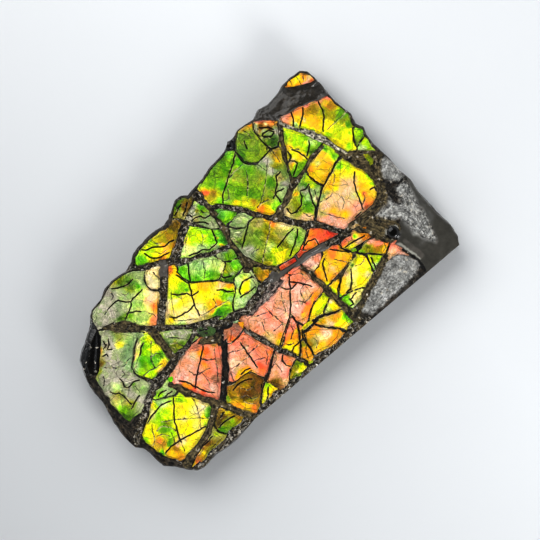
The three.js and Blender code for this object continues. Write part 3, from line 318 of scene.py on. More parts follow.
# Veins between the plates: a name, the rock in them, and their middle line as x,y,width. The streak and knob
# lines and the light line on the nose are painted highlights on the glossy rock.
VEINS = """
upper_left rough: 125,271,5 135,270,6 145,267,6 155,263,6 165,262,7 180,262,7 190,258,6 200,256,5 210,255,5
  218,251,5 230,246,5
left_post smooth: 163,262,8 164,272,9 164,281,8
left_post_foot rough: 164,281,8 163,300,7 161,315,8 160,327,8
lens brown: 102,328,1 112,327,8 124,327,12 134,328,9 142,328,5
main rough: 142,328,5 150,328,7 163,329,6 180,326,3 195,325,4 204,323,8 212,324,14 225,321,11 235,315,8
  246,311,8 254,300,9 262,288,8 270,278,8
main_bar smooth: 271,279,9 280,271,11 290,264,11 300,259,11 310,253,10 320,247,10 330,242,9
main_end rough: 328,243,8 338,240,8 344,235,11 350,229,6
fan_edge brown: 345,232,5 357,219,6 366,212,8 376,206,10 382,196,10 381,186,9 376,176,8 368,168,9 358,160,12
  348,155,9 338,150,6
middle rough: 197,196,10 208,207,6 218,206,5 230,208,5 245,211,5 260,215,5 270,218,6 280,218,9 292,221,6
  305,225,7 320,225,8 333,229,6 345,233,7
middle_left brown: 207,205,4 213,214,6 220,223,6 228,235,7 234,245,7 241,254,7 250,260,6 258,264,5 268,268,5
  278,270,6
junction brown: 243,256,8 248,266,12 246,272,6
shoulder_crack rough: 176,219,2 184,222,4 192,225,3 202,227,2.5 213,230,2
window_left rough: 186,222,6 183,231,8 180,240,8 177,250,9 174,260,9
ridge brown: 278,124,4 281,132,6 283,141,7 285,150,6 288,160,6 291,170,5 294,181,9 291,190,7 287,200,7
  283,208,8 278,217,9
ridge_branch brown: 294,183,7 300,174,6 307,164,5 314,155,5 321,147,4
tip_band ash: 279,121,4 288,127,4 298,130,4 308,133,6 318,137,8 328,141,8 338,147,6 346,152,4
salmon_edge brown: 303,267,3 311,274,5 320,283,6 328,291,6 336,299,6 343,306,7 350,312,9 356,318,9
stone_edge brown: 386,256,5 380,268,8 374,280,8 368,290,8 361,302,8 356,312,9
quad_top rough: 246,330,4 256,337,5 268,343,5 280,350,5 292,355,4 304,361,5 310,367,4
quad_left black: 223,334,6 224,345,7 225,357,7 226,370,7 224,383,7 223,395,7 222,404,6
left_diagonal rough: 196,328,7 191,338,7 185,347,7 178,356,8 172,364,9 166,372,10 160,380,9 155,388,9
  150,397,7 147,406,7 144,416,9 140,428,9 137,441,8
heart_right brown: 150,331,6 158,338,9 164,346,8 170,355,8
heart_foot rough: 138,377,2 146,379,3 154,381,5
foot_band brown: 170,385,5 180,389,7 190,393,7 202,398,7 214,403,8 226,407,7 238,411,6 250,416,7 258,419,5
foot_post brown: 215,406,9 212,418,8 208,430,8 201,442,8 194,452,8 187,463,10
cream_edge black: 146,283,2.5 148,288,2.5 153,290,2.5 159,289,2.5
fan_crack black: 337,162,2 332,170,2 327,178,2 322,187,2 320,197,2 317,207,2.5 315,220,3
tongue_right black: 297,323,2 299,332,2.5 300,343,2.5 300,355,2.5
tail_left black: 275,352,3 272,362,3 269,373,3 266,380,3
corner_crack black: 339,311,2 330,313,3 322,316,3 314,321,5 308,328,6 304,333,4
slope_left brown: 355,252,4 353,262,4 346,270,5 340,276,5 332,281,3
ledge_foot black: 341,249,2 350,251,2 358,253,2 368,254,2 380,253,2
nose_light smooth: 404,241,3 410,246,6 416,251,7 422,256,5
streak gloss: 399,244,3 404,247,2.4 410,251,1.8 416,255,1.6 421,259,1.2
streak_foot black: 402,250,2 410,254,2.5 416,259,3 421,264,3 424,270,3
knob_top gloss: 390,226,1.2 394,225,1.2 398,228,1.2
knob_side gloss: 386,230,1.2 387,234,1.6
stone_rim black: 383,181,1.5 392,183,2 398,183,2 402,180,1.5 405,177,1.5
ledge_cleft forest: 352,251,3 360,246,5 366,240,4
"""

# Bare rock: its kind and its outline. Each lies over those before it, and the veins over them all.
BARE_ZONES = """
knob: 88,316 94,322 98,330 101,338 101,366 97,381 86,386 72,366 72,346 79,328
shale: 84,376 97,377 103,390 112,404 119,414 130,421 138,413 150,411 146,420 142,438 150,446 163,455 178,461
  187,458 196,452 200,462 192,474 150,456 128,447 108,415 96,396
hollow: 280,88 300,85 318,79 331,93 318,99 300,107 284,116 277,120 256,121 252,113 259,106 270,102
knob: 222,153 226,143 234,138 237,150
black: 190,190 196,187 203,194 207,206 200,204 194,201
brown: 246,126 240,122 232,132 236,140 238,132
brown: 352,151 362,150 372,149 383,154 381,172 392,186 389,200 381,216 398,221 403,233 392,243 370,237 357,232
  351,229 358,218 375,204 379,192 374,180 364,170 350,163 341,156
shale: 382,176 392,180 398,184 400,194 402,204 396,206 390,198 384,190
nose: 405,176 412,178 425,196 440,212 452,222 464,240 460,249 441,264 428,274 422,266 414,256 404,250 396,244
  398,236 402,229 400,222 406,222 410,229 420,236 438,243 433,228 424,213 418,203 411,190
slate: 383,157 390,159 400,168 405,177 399,182 390,180 383,176 381,166
stone: 400,183 406,182 411,190 417,202 424,213 431,228 437,242 424,238 414,234 408,225 401,218 392,219 384,218
  377,214 382,208 388,205 389,197 395,204 401,203 398,194 396,188
slate: 387,262 393,256 403,254 413,259 421,263 418,271 411,278 400,290 385,303 371,315 361,311 364,300 374,283
  382,270
rubble: 262,291 268,282 277,277 284,280 276,291 262,306 252,315 246,317 250,308 257,300
black: 193,320 204,316 222,316 236,316 232,327 214,334 200,338 192,331
brown: 206,335 222,333 222,345 206,345 196,345
knob: 389,226 394,225 399,229 400,234 397,239 390,240 386,236 386,230
rough: 366,316 352,323 347,331 340,339 331,347 321,352 314,356 312,362 305,369 300,375 291,380 286,386 280,390
  275,392 270,398 262,404 257,412 250,414 243,418 241,423 234,427 229,432 227,437 221,442 216,448 209,453
  203,460 192,470 200,478 230,454 262,426 300,394 340,362 378,326
"""

# Loose shell chips: their tone and their outline
CHIPS = """
lemon: 302,328 306,323 312,320 313,323 307,328 303,331
olive: 363,154 368,154 373,159 373,164 370,166
peach: 350,227 356,223 360,225 353,229
orange: 361,227 367,227 366,229
citron: 308,360 314,358 313,363 309,364
sage: 137,334 142,332 144,336 138,344
smoke: 163,334 176,330 190,331 194,333 178,335 166,338
teal: 197,327 209,326 216,329 214,335 203,337 197,334
vivid: 168,378 172,376 174,379 171,382 168,381
lime: 351,249 356,248 357,251 352,252
cream: 177,367 180,366 182,369 179,372 176,371
leaf: 224,311 230,308 230,313 223,319 219,320
jade: 232,322 238,320 239,322 234,324
lime: 348,300 351,300 350,303
rosewood: 223,331 230,329 228,337 224,341
salmon: 247,323 249,327 249,331 246,329
orange: 238,322 244,322 243,330 240,327
leaf: 215,216 224,213 229,213 222,223 218,220
moss: 222,224 229,217 232,215 226,225 223,227
"""



# ---- Readings of the tables above ----

def entries(table):
    """Each entry of a table: its label and its text, which may run on over indented lines."""
    rows = table.strip().replace("\n  ", " ").split("\n")
    return [[part.strip() for part in row.split(":", 1)] for row in rows]


def placed(spots):
    """Turns places on the tables' grid into the specimen's frame, in millimetres."""
    return spots @ GRID_TURN * GRID_STEP + GRID_START


def read_path(text):
    """Reads points as rows of x, y and sometimes a width."""
    rows = np.array([[float(value) for value in point.split(",")] for point in text.split()])
    return np.column_stack((placed(rows[:, :2]), rows[:, 2:] * GRID_STEP))


def read_paths(text):
    """Reads several paths, parted by upright strokes."""
    return [read_path(part) for part in text.split("|") if part.strip()]


def read_flashes(text):
    """Reads colour places as centres, reaches and their three shell measures."""
    rows = [place.split(",") for place in text.split()]
    centres = placed(np.array([[float(row[1]), float(row[2])] for row in rows]))
    reaches = np.array([float(row[3]) for row in rows]) * GRID_STEP
    tones = np.array([SHELL_TONES[row[0]] for row in rows])
    return centres, reaches, tones


# ---- Seeded noise on plain points, in millimetres ----

def cell_value(column, row, seed):
    """A repeatable number from -1 to 1 for each cell of a grid."""
    mixed = (column * COLUMN_MIX + row * ROW_MIX + seed * SEED_MIX) & 0xFFFFFFFF
    mixed = ((mixed ^ (mixed >> 13)) * LAST_MIX) & 0xFFFFFFFF
    return ((mixed ^ (mixed >> 16)) & 0xFFFF) / 32767.5 - 1.0


def ripple(points, size, seed):
    """Smooth noise from -1 to 1 with bumps of the given size."""
    scaled = points / size
    corner = np.floor(scaled).astype(np.int64)
    part = scaled - corner
    part = part * part * (3 - 2 * part)
    column, row = corner.T
    across, along = part.T
    near = cell_value(column, row, seed) * (1 - across) + cell_value(column + 1, row, seed) * across
    far = cell_value(column, row + 1, seed) * (1 - across) + cell_value(column + 1, row + 1, seed) * across
    return near * (1 - along) + far * along


def rubble(points, size, seed, octaves=3):
    """Noise from -1 to 1 that has ever smaller bumps on its bumps."""
    total = sum(ripple(points, size / 2**k, seed + 31 * k) / 2**k for k in range(octaves))
    return total / (2 - 2 ** (1 - octaves))


def sway(points, size, reach, seed):
    """Moves points sideways by smooth noise."""
    return points + reach * np.stack((ripple(points, size, seed), ripple(points, size, seed + 7)), axis=1)


def smooth_step(low, high, value):
    """0 on the far side of low, 1 past high and an even slope between."""
    part = np.clip((value - low) / (high - low), 0, 1)
    return part * part * (3 - 2 * part)


# ---- Lines and outlines ----

def stretches(line, closed=False):
    """The start and the end of each straight stretch of a line."""
    return list(zip(line, np.roll(line, -1, axis=0) if closed else line[1:]))


def beside_box(points, line, margin):
    """True for each point within the margin of the line's box."""
    low, high = line.min(axis=0)[:2] - margin, line.max(axis=0)[:2] + margin
    return ((points > low) & (points < high)).all(axis=1)


def with_points_every(line, step, closed=False):
    """Adds points to a line so that none of its stretches is longer than step."""
    filled = []
    for start, end in stretches(line, closed):
        pieces = max(1, math.ceil(np.linalg.norm((end - start)[:2]) / step))
        filled += [start + (end - start) * k / pieces for k in range(pieces)]
    if not closed:
        filled.append(line[-1])
    return np.array(filled)


def square_to(along):
    """Unit directions square to these, on their right."""
    across = np.stack((along[:, 1], -along[:, 0]), axis=1)
    return across / np.maximum(np.linalg.norm(across, axis=1), 1e-9)[:, None]


def outward(loop):
    """Unit directions that point out of an anticlockwise loop."""
    return square_to(np.roll(loop, -1, axis=0) - np.roll(loop, 1, axis=0))


def grown(loop, amount):
    """The loop moved outwards."""
    return loop + amount * outward(loop)


def reach_to_line(points, line, closed=False):
    """Each point's distance to a line of points, and how far along the nearest stretch it lies."""
    best = np.full(len(points), 1e9)
    nearest = np.zeros(len(points))
    for index, (start, end) in enumerate(stretches(line, closed)):
        run = end[:2] - start[:2]
        along = np.clip(((points - start[:2]) @ run) / max(run @ run, TINY), 0, 1)
        gap = np.linalg.norm(points - start[:2] - along[:, None] * run, axis=1)
        closer = gap < best
        best[closer] = gap[closer]
        nearest[closer] = index + along[closer]
    return best, nearest


def inside(points, loop):
    """True for each point that lies inside the loop."""
    within = np.zeros(len(points), bool)
    for start, end in stretches(loop, closed=True):
        spans = (start[1] > points[:, 1]) != (end[1] > points[:, 1])
        rise = end[1] - start[1]
        if abs(rise) > TINY:
            crossing = start[0] + (points[:, 1] - start[1]) * (end[0] - start[0]) / rise
            within ^= spans & (points[:, 0] < crossing)
    return within


def edge_distance(points, loop, beyond=1.2):
    """Distance to a loop, negative inside, and large for points further than beyond from it."""
    near = beside_box(points, loop, beyond)
    distance = np.full(len(points), FAR)
    gap, _ = reach_to_line(points[near], loop, closed=True)
    distance[near] = np.where(inside(points[near], loop), -gap, gap)
    return distance


def scattered(low, high, step, seed):
    """Points on a shaken grid, for a sheet whose facets show no rows."""
    columns = np.arange(low[0], high[0] + step, step)
    rows = np.arange(low[1], high[1] + step, step * 0.87)
    grid_x, grid_y = np.meshgrid(columns, rows)
    grid_x[1::2] += step / 2
    points = np.stack((grid_x.ravel(), grid_y.ravel()), axis=1)
    dice = np.random.default_rng(seed)
    return points + dice.uniform(-0.28, 0.28, points.shape) * step


# ---- Shell plates: where they lie and what colour they are ----

def merged(node):
    """A CAD node's mesh with its doubles merged, to read from."""
    mesh = bmesh.new()
    mesh.from_mesh(node.data)
    bmesh.ops.remove_doubles(mesh, verts=mesh.verts, dist=1e-6)
    mesh.verts.index_update()
    return mesh


class Plate:
    """A shell plate: its broken outline, the plane of its face and its colours."""

    def __init__(self, name, settings):
        self.name = name
        self.settings = settings
        self.seed = sum(ord(letter) * (place + 1) for place, letter in enumerate(name))
        self.floor = SEAT
        flashes, cracks, seams = dict(entries(PLATE_LOOKS))[name].split("/")
        self.centres, self.reaches, self.tones = read_flashes(flashes)
        self.cracks = [self.jagged(line) for line in read_paths(cracks)]
        self.seams = [self.jagged(line) for line in read_paths(seams)]
        corners = self.flat_face(frame["nodes"]["shell_" + name])
        edge = with_points_every(corners[:, :2], settings.edge_step, closed=True)
        edge = grown(edge, settings.edge_growth)
        self.edge = sway(edge, settings.edge_step * 2.2, settings.edge_shake, self.seed)
        slopes = np.column_stack((np.ones(len(corners)), corners[:, :2]))
        self.plane = np.linalg.lstsq(slopes, corners[:, 2], rcond=None)[0]

    def jagged(self, line):
        """A crack's line with the small turns that a brittle break has."""
        step, shake = self.settings.edge_step, self.settings.edge_shake
        return sway(with_points_every(line, step), step * 1.6, shake * 1.4, self.seed + 3)

    def flat_face(self, node):
        """The corners of the node's flat face, anticlockwise, in millimetres."""
        mesh = merged(node)
        mesh.normal_update()
        faces = {face for face in mesh.faces if face.normal.z > FLAT}
        following = {}
        for face in faces:
            for loop in face.loops:
                if sum(other in faces for other in loop.edge.link_faces) == 1:
                    following[loop.vert.index] = loop.link_loop_next.vert.index
        mesh.verts.ensure_lookup_table()
        corners = np.array([mesh.verts[index].co for index in walk(following)]) / MM
        mesh.free()
        return corners

    def height(self, points):
        """The height of the face's plane at each point."""
        return self.plane[0] + points @ self.plane[1:]

    def colour(self, points):
        """Play, milk and gloom at each point."""
        settings = self.settings
        moved = sway(points, 2.2, settings.colour_drift, self.seed + 11)
        moved = sway(moved, 0.6, settings.colour_drift * 0.45, self.seed + 12)
        gaps = ((moved[:, None, :] - self.centres[None]) ** 2).sum(axis=2)
        pull = 1 / (gaps / self.reaches**2 + 0.12) ** 2.0
        pull /= pull.sum(axis=1)[:, None]
        tones = pull @ self.tones
        tones[:, 0] += settings.play_patches * rubble(points, 1.1, self.seed + 13)
        tones[:, 1] += 0.10 * rubble(points, 1.5, self.seed + 14)
        tones[:, 2] += 0.14 * np.clip(rubble(points, 0.8, self.seed + 15), 0, 1)
        return np.clip(tones, 0, 1)


def all_plates(settings):
    """Every plate of the specimen, by name."""
    return {name: Plate(name, settings) for name, _ in entries(PLATE_LOOKS)}


class Survey:
    """Which rock lies bare at each point, and how far the nearest vein is."""

    def __init__(self, points):
        self.points = points
        ragged = sway(sway(points, 0.9, 0.16, 41), 0.35, 0.08, 43)
        self.film = np.ones(len(points))
        self.rock = np.tile(ROCKS["shale"], (len(points), 1)).astype(float)
        self.vein_gap = np.full(len(points), FAR)
        for kind, text in entries(BARE_ZONES):
            gap = edge_distance(ragged, with_points_every(read_path(text), 2, True), 1.0)
            self.lay(kind, gap, FADES.get(kind, 0.12))
        for label, text in entries(VEINS):
            path = read_path(text)
            near = beside_box(ragged, path, 2)
            gap = np.full(len(points), FAR)
            reach, along = reach_to_line(ragged[near], path[:, :2])
            gap[near] = reach - np.interp(along, np.arange(len(path)), path[:, 2]) / 2
            self.lay(label.split()[1], gap, 0.07)

    def lay(self, kind, gap, soft):
        """Lays a kind of rock over what is there, where gap is below 0."""
        mask = 1 - smooth_step(-soft, soft, gap)
        self.rock += (np.array(ROCKS[kind]) - self.rock) * mask[:, None]
        self.film *= 1 - mask
        self.vein_gap = np.minimum(self.vein_gap, gap)

    def ridges(self):
        """Ridges that run along the veins, from -1 to 1, and 0 beside them."""
        wave = np.cos(math.tau * (self.vein_gap / RIDGE_SPACING + 0.55 * ripple(self.points, 0.8, 45)))
        return wave * smooth_step(0.02, -0.10, self.vein_gap) * smooth_step(0.3, 0.7, self.rock[:, 4])

    def soiling(self):
        """Brown dirt on the shell beside the veins, from 0 to 1."""
        reach = SOIL_REACH + 0.22 * ripple(self.points, 1.3, 47)
        patches = 0.75 + 0.25 * ripple(self.points, 0.5, 48)
        return SOIL_STRENGTH * (1 - smooth_step(0.0, 1.0, self.vein_gap / reach)) * patches


# ---- Meshes ----

def sheet(points, rings, lines):
    """Triangles between points, with every ring and line kept as edges, inside the first ring."""
    spots = []
    edges = []
    for number, kept in enumerate(rings + lines):
        first, last = len(spots), len(spots) + len(kept) - 1
        spots += [Vector(spot) for spot in kept]
        edges += [(k, k + 1) for k in range(first, last)]
        if number < len(rings):
            edges.append((last, first))
    spots += [Vector(spot) for spot in points]
    outer = [list(range(len(rings[0])))]
    result = delaunay_2d_cdt(spots, edges, outer, 1, 1e-4)
    spots = np.array([tuple(spot) for spot in result[0]])
    return spots, facing_up(spots, [list(face) for face in result[2]])


def border(faces):
    """The sheet's outer edge, vertex by vertex, in the direction of its faces."""
    sides = set()
    for face in faces:
        sides.update(zip(face, face[1:] + face[:1]))
    return walk({start: end for start, end in sides if (end, start) not in sides})


def walk(following):
    """The loop that leads from each vertex to the one that follows it."""
    order = [min(following)]
    while following[order[-1]] != order[0]:
        order.append(following[order[-1]])
        if len(order) > len(following):
            raise ValueError("the edge crosses itself")
    return order


def facing_up(spots, faces):
    """Turns every face so that it looks up."""
    turned = []
    for face in faces:
        a, b, c = (spots[index] for index in face[:3])
        area = (b[0] - a[0]) * (c[1] - a[1]) - (b[1] - a[1]) * (c[0] - a[0])
        turned.append(face if area > 0 else face[::-1])
    return turned


def new_piece(name, spots, faces, attributes, material, smooth_angle=35):
    """A piece from its mesh in millimetres, with colours for its material to read."""
    mesh = bpy.data.meshes.new(name)
    mesh.from_pydata((np.asarray(spots) * MM).tolist(), [], faces)
    for label, values in attributes.items():
        layer = mesh.attributes.new(label, "FLOAT_COLOR", "POINT")
        layer.data.foreach_set("color", np.asarray(values, np.float32).ravel())
    mesh.materials.append(material)
    piece = bpy.data.objects.new(name, mesh)
    bpy.context.collection.objects.link(piece)
    bpy.ops.object.select_all(action="DESELECT")
    piece.select_set(True)
    bpy.context.view_layer.objects.active = piece
    bpy.ops.object.shade_smooth_by_angle(angle=math.radians(smooth_angle))
    piece.select_set(False)
    return piece


def crack_depth(points, lines, width):
    """How deep into a crack each point lies: 1 on its line, 0 at its sides and past its ends."""
    depth = np.zeros(len(points))
    for line in lines:
        near = beside_box(points, line, 4 * width)
        gap, along = reach_to_line(points[near], line)
        taper = 0.35 + 0.65 * np.sin(np.pi * np.clip(along / (len(line) - 1), 0.02, 0.98)) ** 0.5
        taper = taper * (1 + 0.35 * ripple(points[near], 0.5, 61))
        groove = 1 - smooth_step(0.1, 1, gap / (width * taper))
        skirt = 0.12 * (1 - smooth_step(0.6, 3.2, gap / (width * taper)))
        depth[near] = np.maximum(depth[near], np.maximum(groove, skirt))
    return depth


def beside(line, width):
    """The two sides of a crack."""
    across = square_to(np.gradient(line, axis=0)) * width
    return line + across, line - across


class Layers:
    """A mesh that is built up row by row: a sheet first, then rings that hang from its edge."""

    def __init__(self, spots, faces, **attributes):
        self.spots = [spots]
        self.faces = faces
        self.attributes = {label: [values] for label, values in attributes.items()}
        self.ring = border(faces)
        self.count = len(spots)

    def lower(self, spots, **attributes):
        """Adds a ring of spots below the last one, with sides between them."""
        columns = len(spots)
        below = list(range(self.count, self.count + columns))
        for k in range(columns):
            after = (k + 1) % columns
            self.faces.append([self.ring[k], below[k], below[after], self.ring[after]])
        self.ring = below
        self.count += columns
        self.spots.append(spots)
        for label, values in attributes.items():
            self.attributes[label].append(values)

    def piece(self, name, material, smooth_angle=35):
        """The closed piece, with a flat underside inside its last ring."""
        self.faces.append(self.ring[::-1])
        attributes = {label: np.vstack(rows) for label, rows in self.attributes.items()}
        return new_piece(name, np.vstack(self.spots), self.faces, attributes, material, smooth_angle)


# A plate's side, row by row: how far it stands out, how far it has fallen and how far it turns to bare shell,
# which also darkens it towards its foot as painted shade
WALL_ROWS = ((0.4, 0.10, 0.35), (1.0, 0.45, 0.56), (1.0, 1.0, 0.63))


def plate_sheet(plate):
    """A plate's face as a flat sheet, with its edge, its cracks and its seams kept as edges."""
    settings = plate.settings
    points = scattered(plate.edge.min(axis=0), plate.edge.max(axis=0), settings.face_step, plate.seed)
    points = points[edge_distance(points, plate.edge) < -0.5 * settings.face_step]
    lines = []
    for line in plate.cracks:
        lines += [line, *beside(line, settings.crack_width)]
        gap, _ = reach_to_line(points, line)
        points = points[gap > settings.crack_width * 1.4]
    for line in plate.seams:
        lines.append(line)
        gap, _ = reach_to_line(points, line)
        points = points[gap > settings.face_step * 0.4]
    return sheet(points, [plate.edge], lines)


def build_plate(plate, material):
    """A shell plate: a worn face with open cracks, broken sides and a flat underside."""
    settings = plate.settings
    spots, faces = plate_sheet(plate)
    cracks = crack_depth(spots, plate.cracks, settings.crack_width)
    seams = crack_depth(spots, plate.seams, settings.crack_width * 0.7)
    survey = Survey(spots)
    edge_gap, _ = reach_to_line(spots, plate.edge, closed=True)
    worn = (1 - smooth_step(0, settings.edge_wear, edge_gap)) * (1 - smooth_step(0.1, 0.5, survey.vein_gap))
    height = plate.height(spots)
    height = height + settings.face_relief * rubble(spots, 1.6, plate.seed, 4)
    height = height - settings.crack_depth * cracks - 0.4 * settings.crack_depth * seams
    height = height - settings.edge_drop * worn**2
    tones = plate.colour(spots)
    tones[:, 2] = np.maximum(tones[:, 2], survey.soiling())
    play = np.column_stack((tones, np.maximum(cracks, SEAM_SHADE * seams)))
    mesh = Layers(np.column_stack((spots, height)), faces, play=play)
    rim = mesh.ring
    side = outward(spots[rim])
    for spread, fall, bare_and_shaded in WALL_ROWS:
        place = spots[rim] + side * spread * settings.wall_spread
        level = height[rim] + (plate.floor - height[rim]) * fall
        # Painted shade: the side's crack mark grows towards its foot, darkening the gap between plate and
        # pocket
        dull = np.column_stack((tones[rim], np.full(len(rim), 0.2 * fall)))
        dull[:, 2] = np.maximum(dull[:, 2], bare_and_shaded)
        mesh.lower(np.column_stack((place, level)), play=dull)
    return mesh.piece("plate_" + plate.name, material)




# ---- The slab of shale ----

class Solid:
    """A closed mesh that can be felt with straight probes, in millimetres."""

    def __init__(self, spots, faces):
        self.tree = BVHTree.FromPolygons(spots, faces)

    def height(self, points, missing=0.0):
        """The height of its top above each point."""
        down = Vector((0, 0, -1))
        found = [self.tree.ray_cast(Vector((x, y, 40)), down)[0] for x, y in points]
        return np.array([missing if spot is None else spot.z for spot in found])

    def radius(self, angles, levels):
        """How far its side lies from the middle, at each angle and level."""
        reach = []
        for angle, level in zip(angles, levels):
            way = Vector((math.cos(angle), math.sin(angle), 0))
            spot = self.tree.ray_cast(way * 60 + Vector((0, 0, level)), -way)[0]
            reach.append(0.0 if spot is None else math.hypot(spot.x, spot.y))
        return np.array(reach)


def solid_of(node):
    """An object's mesh as a solid to feel."""
    mesh = merged(node)
    spots = [vertex.co / MM for vertex in mesh.verts]
    faces = [[vertex.index for vertex in face.verts] for face in mesh.faces]
    mesh.free()
    return Solid(spots, faces)


class Ground(Survey):
    """What the slab's top is at each point: its rock, its finish and the crushed shell on it."""

    def __init__(self, points, plates, rim):
        super().__init__(points)
        self.rim_gap = -edge_distance(points, rim, 3.0)
        self.film *= smooth_step(0.25, 0.5, self.rim_gap + 0.15 * ripple(points, 0.7, 49))
        self.measure(plates)
        self.film *= 1 - smooth_step(1.0, 1.6, self.plate_gap)

    def measure(self, plates):
        """Finds the nearest plate of each point, and the level of the plates around it."""
        count = len(self.points)
        self.plate_gap = np.full(count, FAR)
        self.second_gap = np.full(count, FAR)
        self.nearest = np.full(count, -1)
        total = np.zeros(count)
        weight = np.zeros(count)
        self.plates = list(plates.values())
        for index, plate in enumerate(self.plates):
            gap = edge_distance(self.points, plate.edge, 2.0)
            near = gap < FAR
            pull = 1 / (np.maximum(gap[near], 0) + 0.05) ** 2
            total[near] += pull * plate.height(self.points[near])
            weight[near] += pull
            self.second_gap = np.minimum(self.second_gap, np.maximum(gap, self.plate_gap))
            closer = gap < self.plate_gap
            self.plate_gap[closer] = gap[closer]
            self.nearest[closer] = index
        self.level = np.where(weight > 0, total / np.maximum(weight, 1e-9), np.nan)

    def shell_colour(self):
        """The colour of the crushed shell, taken from the nearest plate."""
        colours = np.zeros((len(self.points), 3))
        for index, plate in enumerate(self.plates):
            mine = self.nearest == index
            if mine.any():
                colours[mine] = plate.colour(self.points[mine])
        colours[:, 2] = np.maximum(colours[:, 2], self.soiling())
        return colours

    def film_cracks(self, width):
        """Cracks in the crushed shell: midway between two plates, and where a plate's own cracks run on."""
        apart = (self.second_gap - self.plate_gap) / 2 + 0.04 * ripple(self.points, 0.6, 63)
        reach = width * (0.72 + 0.36 * ripple(self.points, 0.9, 65))
        depth = 1 - smooth_step(0.25, 1.25, apart / reach)
        for plate in self.plates:
            depth = np.maximum(depth, crack_depth(self.points, plate.cracks, width * 1.2))
            depth = np.maximum(depth, SEAM_SHADE * crack_depth(self.points, plate.seams, width))
        return depth * self.film


# Rocks: colour from 0 to 255, then roughness, relief and glints from 0 to 1
ROCK_KINDS = {
    "shale": ((62, 56, 47), 0.48, 0.75, 0.24),
    "rough": ((72, 64, 46), 0.42, 1.00, 0.68),
    "smooth": ((102, 98, 92), 0.34, 0.12, 0.05),
    "brown": ((106, 95, 68), 0.46, 0.60, 0.36),
    "black": ((30, 28, 26), 0.30, 0.85, 0.35),
    "ash": ((186, 180, 160), 0.50, 0.85, 0.62),
    "forest": ((22, 40, 16), 0.20, 0.50, 0.40),
    "stone": ((178, 177, 172), 0.48, 0.48, 0.36),
    "slate": ((178, 177, 172), 0.42, 0.42, 0.26),
    "rubble": ((136, 120, 112), 0.55, 0.80, 0.55),
    "hollow": ((60, 56, 50), 0.36, 0.30, 0.05),
    # Painted highlights: pale lines where the glossy rock catches the light
    "gloss": ((176, 174, 164), 0.20, 0.05, 0.00),
    "nose": ((84, 82, 76), 0.32, 0.06, 0.00),
    "knob": ((20, 20, 19), 0.12, 0.18, 0.28),
    "side": ((60, 55, 47), 0.55, 0.55, 0.04),
}
ROCKS = {name: (*linear(kind[0])[:3], *kind[1:]) for name, kind in ROCK_KINDS.items()}
# How softly the broken zones fade into the rock beside them
FADES = {"stone": 0.42, "slate": 0.30}


def slab_rim(slab, settings):
    """The points of the slab's upper edge."""
    corners = [math.atan2(SAWN_SIDE, SAWN_START), math.atan2(SAWN_SIDE, SAWN_END)]
    angles = np.sort(np.append(np.arange(-math.pi, math.pi, math.tau / settings.side_columns), corners))
    rough_reach = slab.radius(angles, np.full(len(angles), SEAT - 0.6))
    ways = np.stack((np.cos(angles), np.sin(angles)), axis=1)
    level = slab.height(ways * (rough_reach - 0.6)[:, None], SEAT) - 0.45
    level = np.clip(level, SEAT - 0.9, None)
    reach = slab.radius(angles, level)
    return ways * (np.where(reach > 0, reach, rough_reach) - 0.04)[:, None]


def slab_sheet(plates, rim, settings, spread):
    """The slab's top as a flat sheet, with the rim and each plate's pocket kept as edges."""
    points = scattered(rim.min(axis=0), rim.max(axis=0), settings.vein_step, 5)
    points = points[edge_distance(points, rim, 60) < -0.6 * settings.vein_step]
    plate_gap = np.full(len(points), FAR)
    lip, foot = settings.pocket_gap, settings.pocket_gap * 0.6
    rings = [rim]
    for plate in plates.values():
        plate_gap = np.minimum(plate_gap, edge_distance(points, plate.edge, 1.0))
        rings += [grown(plate.edge, spread + lip), grown(plate.edge, spread + foot)]
    return sheet(points[plate_gap > lip + 0.4 * settings.vein_step], rings, [])


def build_slab(settings, shell, material):
    """The slab: a veined top with a pocket for each plate, broken sides and one sawn side."""
    slab = solid_of(frame["nodes"]["matrix"])
    plates = all_plates(shell)
    rim = slab_rim(slab, settings)
    spots, faces = slab_sheet(plates, rim, settings, shell.wall_spread)
    ground = Ground(spots, plates, rim)
    outside = ground.plate_gap - shell.wall_spread
    cracks = ground.film_cracks(shell.crack_width)
    height = top_height(slab, ground, outside, settings) - shell.crack_depth * cracks
    lip = settings.pocket_gap
    height[outside < 0.8 * lip] = SEAT - lip
    order = border(faces)
    height[order] = slab.height(spots[order] * 0.999, SEAT - 0.3)
    # Painted shade: the rock darkens towards each plate's pocket, in the gap between plate and rock, less
    # under crushed shell
    pocket_shade = (1 - smooth_step(lip, lip + 0.12, outside)) * (1 - 0.85 * ground.film)
    # Painted light and shade: the rock is paler on the ridges along the veins and darker between them, with
    # the ridges' relief
    ridge_lit_tones = ground.rock[:, :3] * (1 + 0.6 * ground.ridges())[:, None]
    mesh = Layers(np.column_stack((spots, height)), faces,
                  tone=np.column_stack((ridge_lit_tones, ground.film)),
                  finish=np.column_stack((ground.rock[:, 3:6], pocket_shade)),
                  play=np.column_stack((ground.shell_colour(), cracks)))
    build_sides(mesh, slab, ground.rock[order], settings)
    return mesh.piece("shale_slab", material, 50)


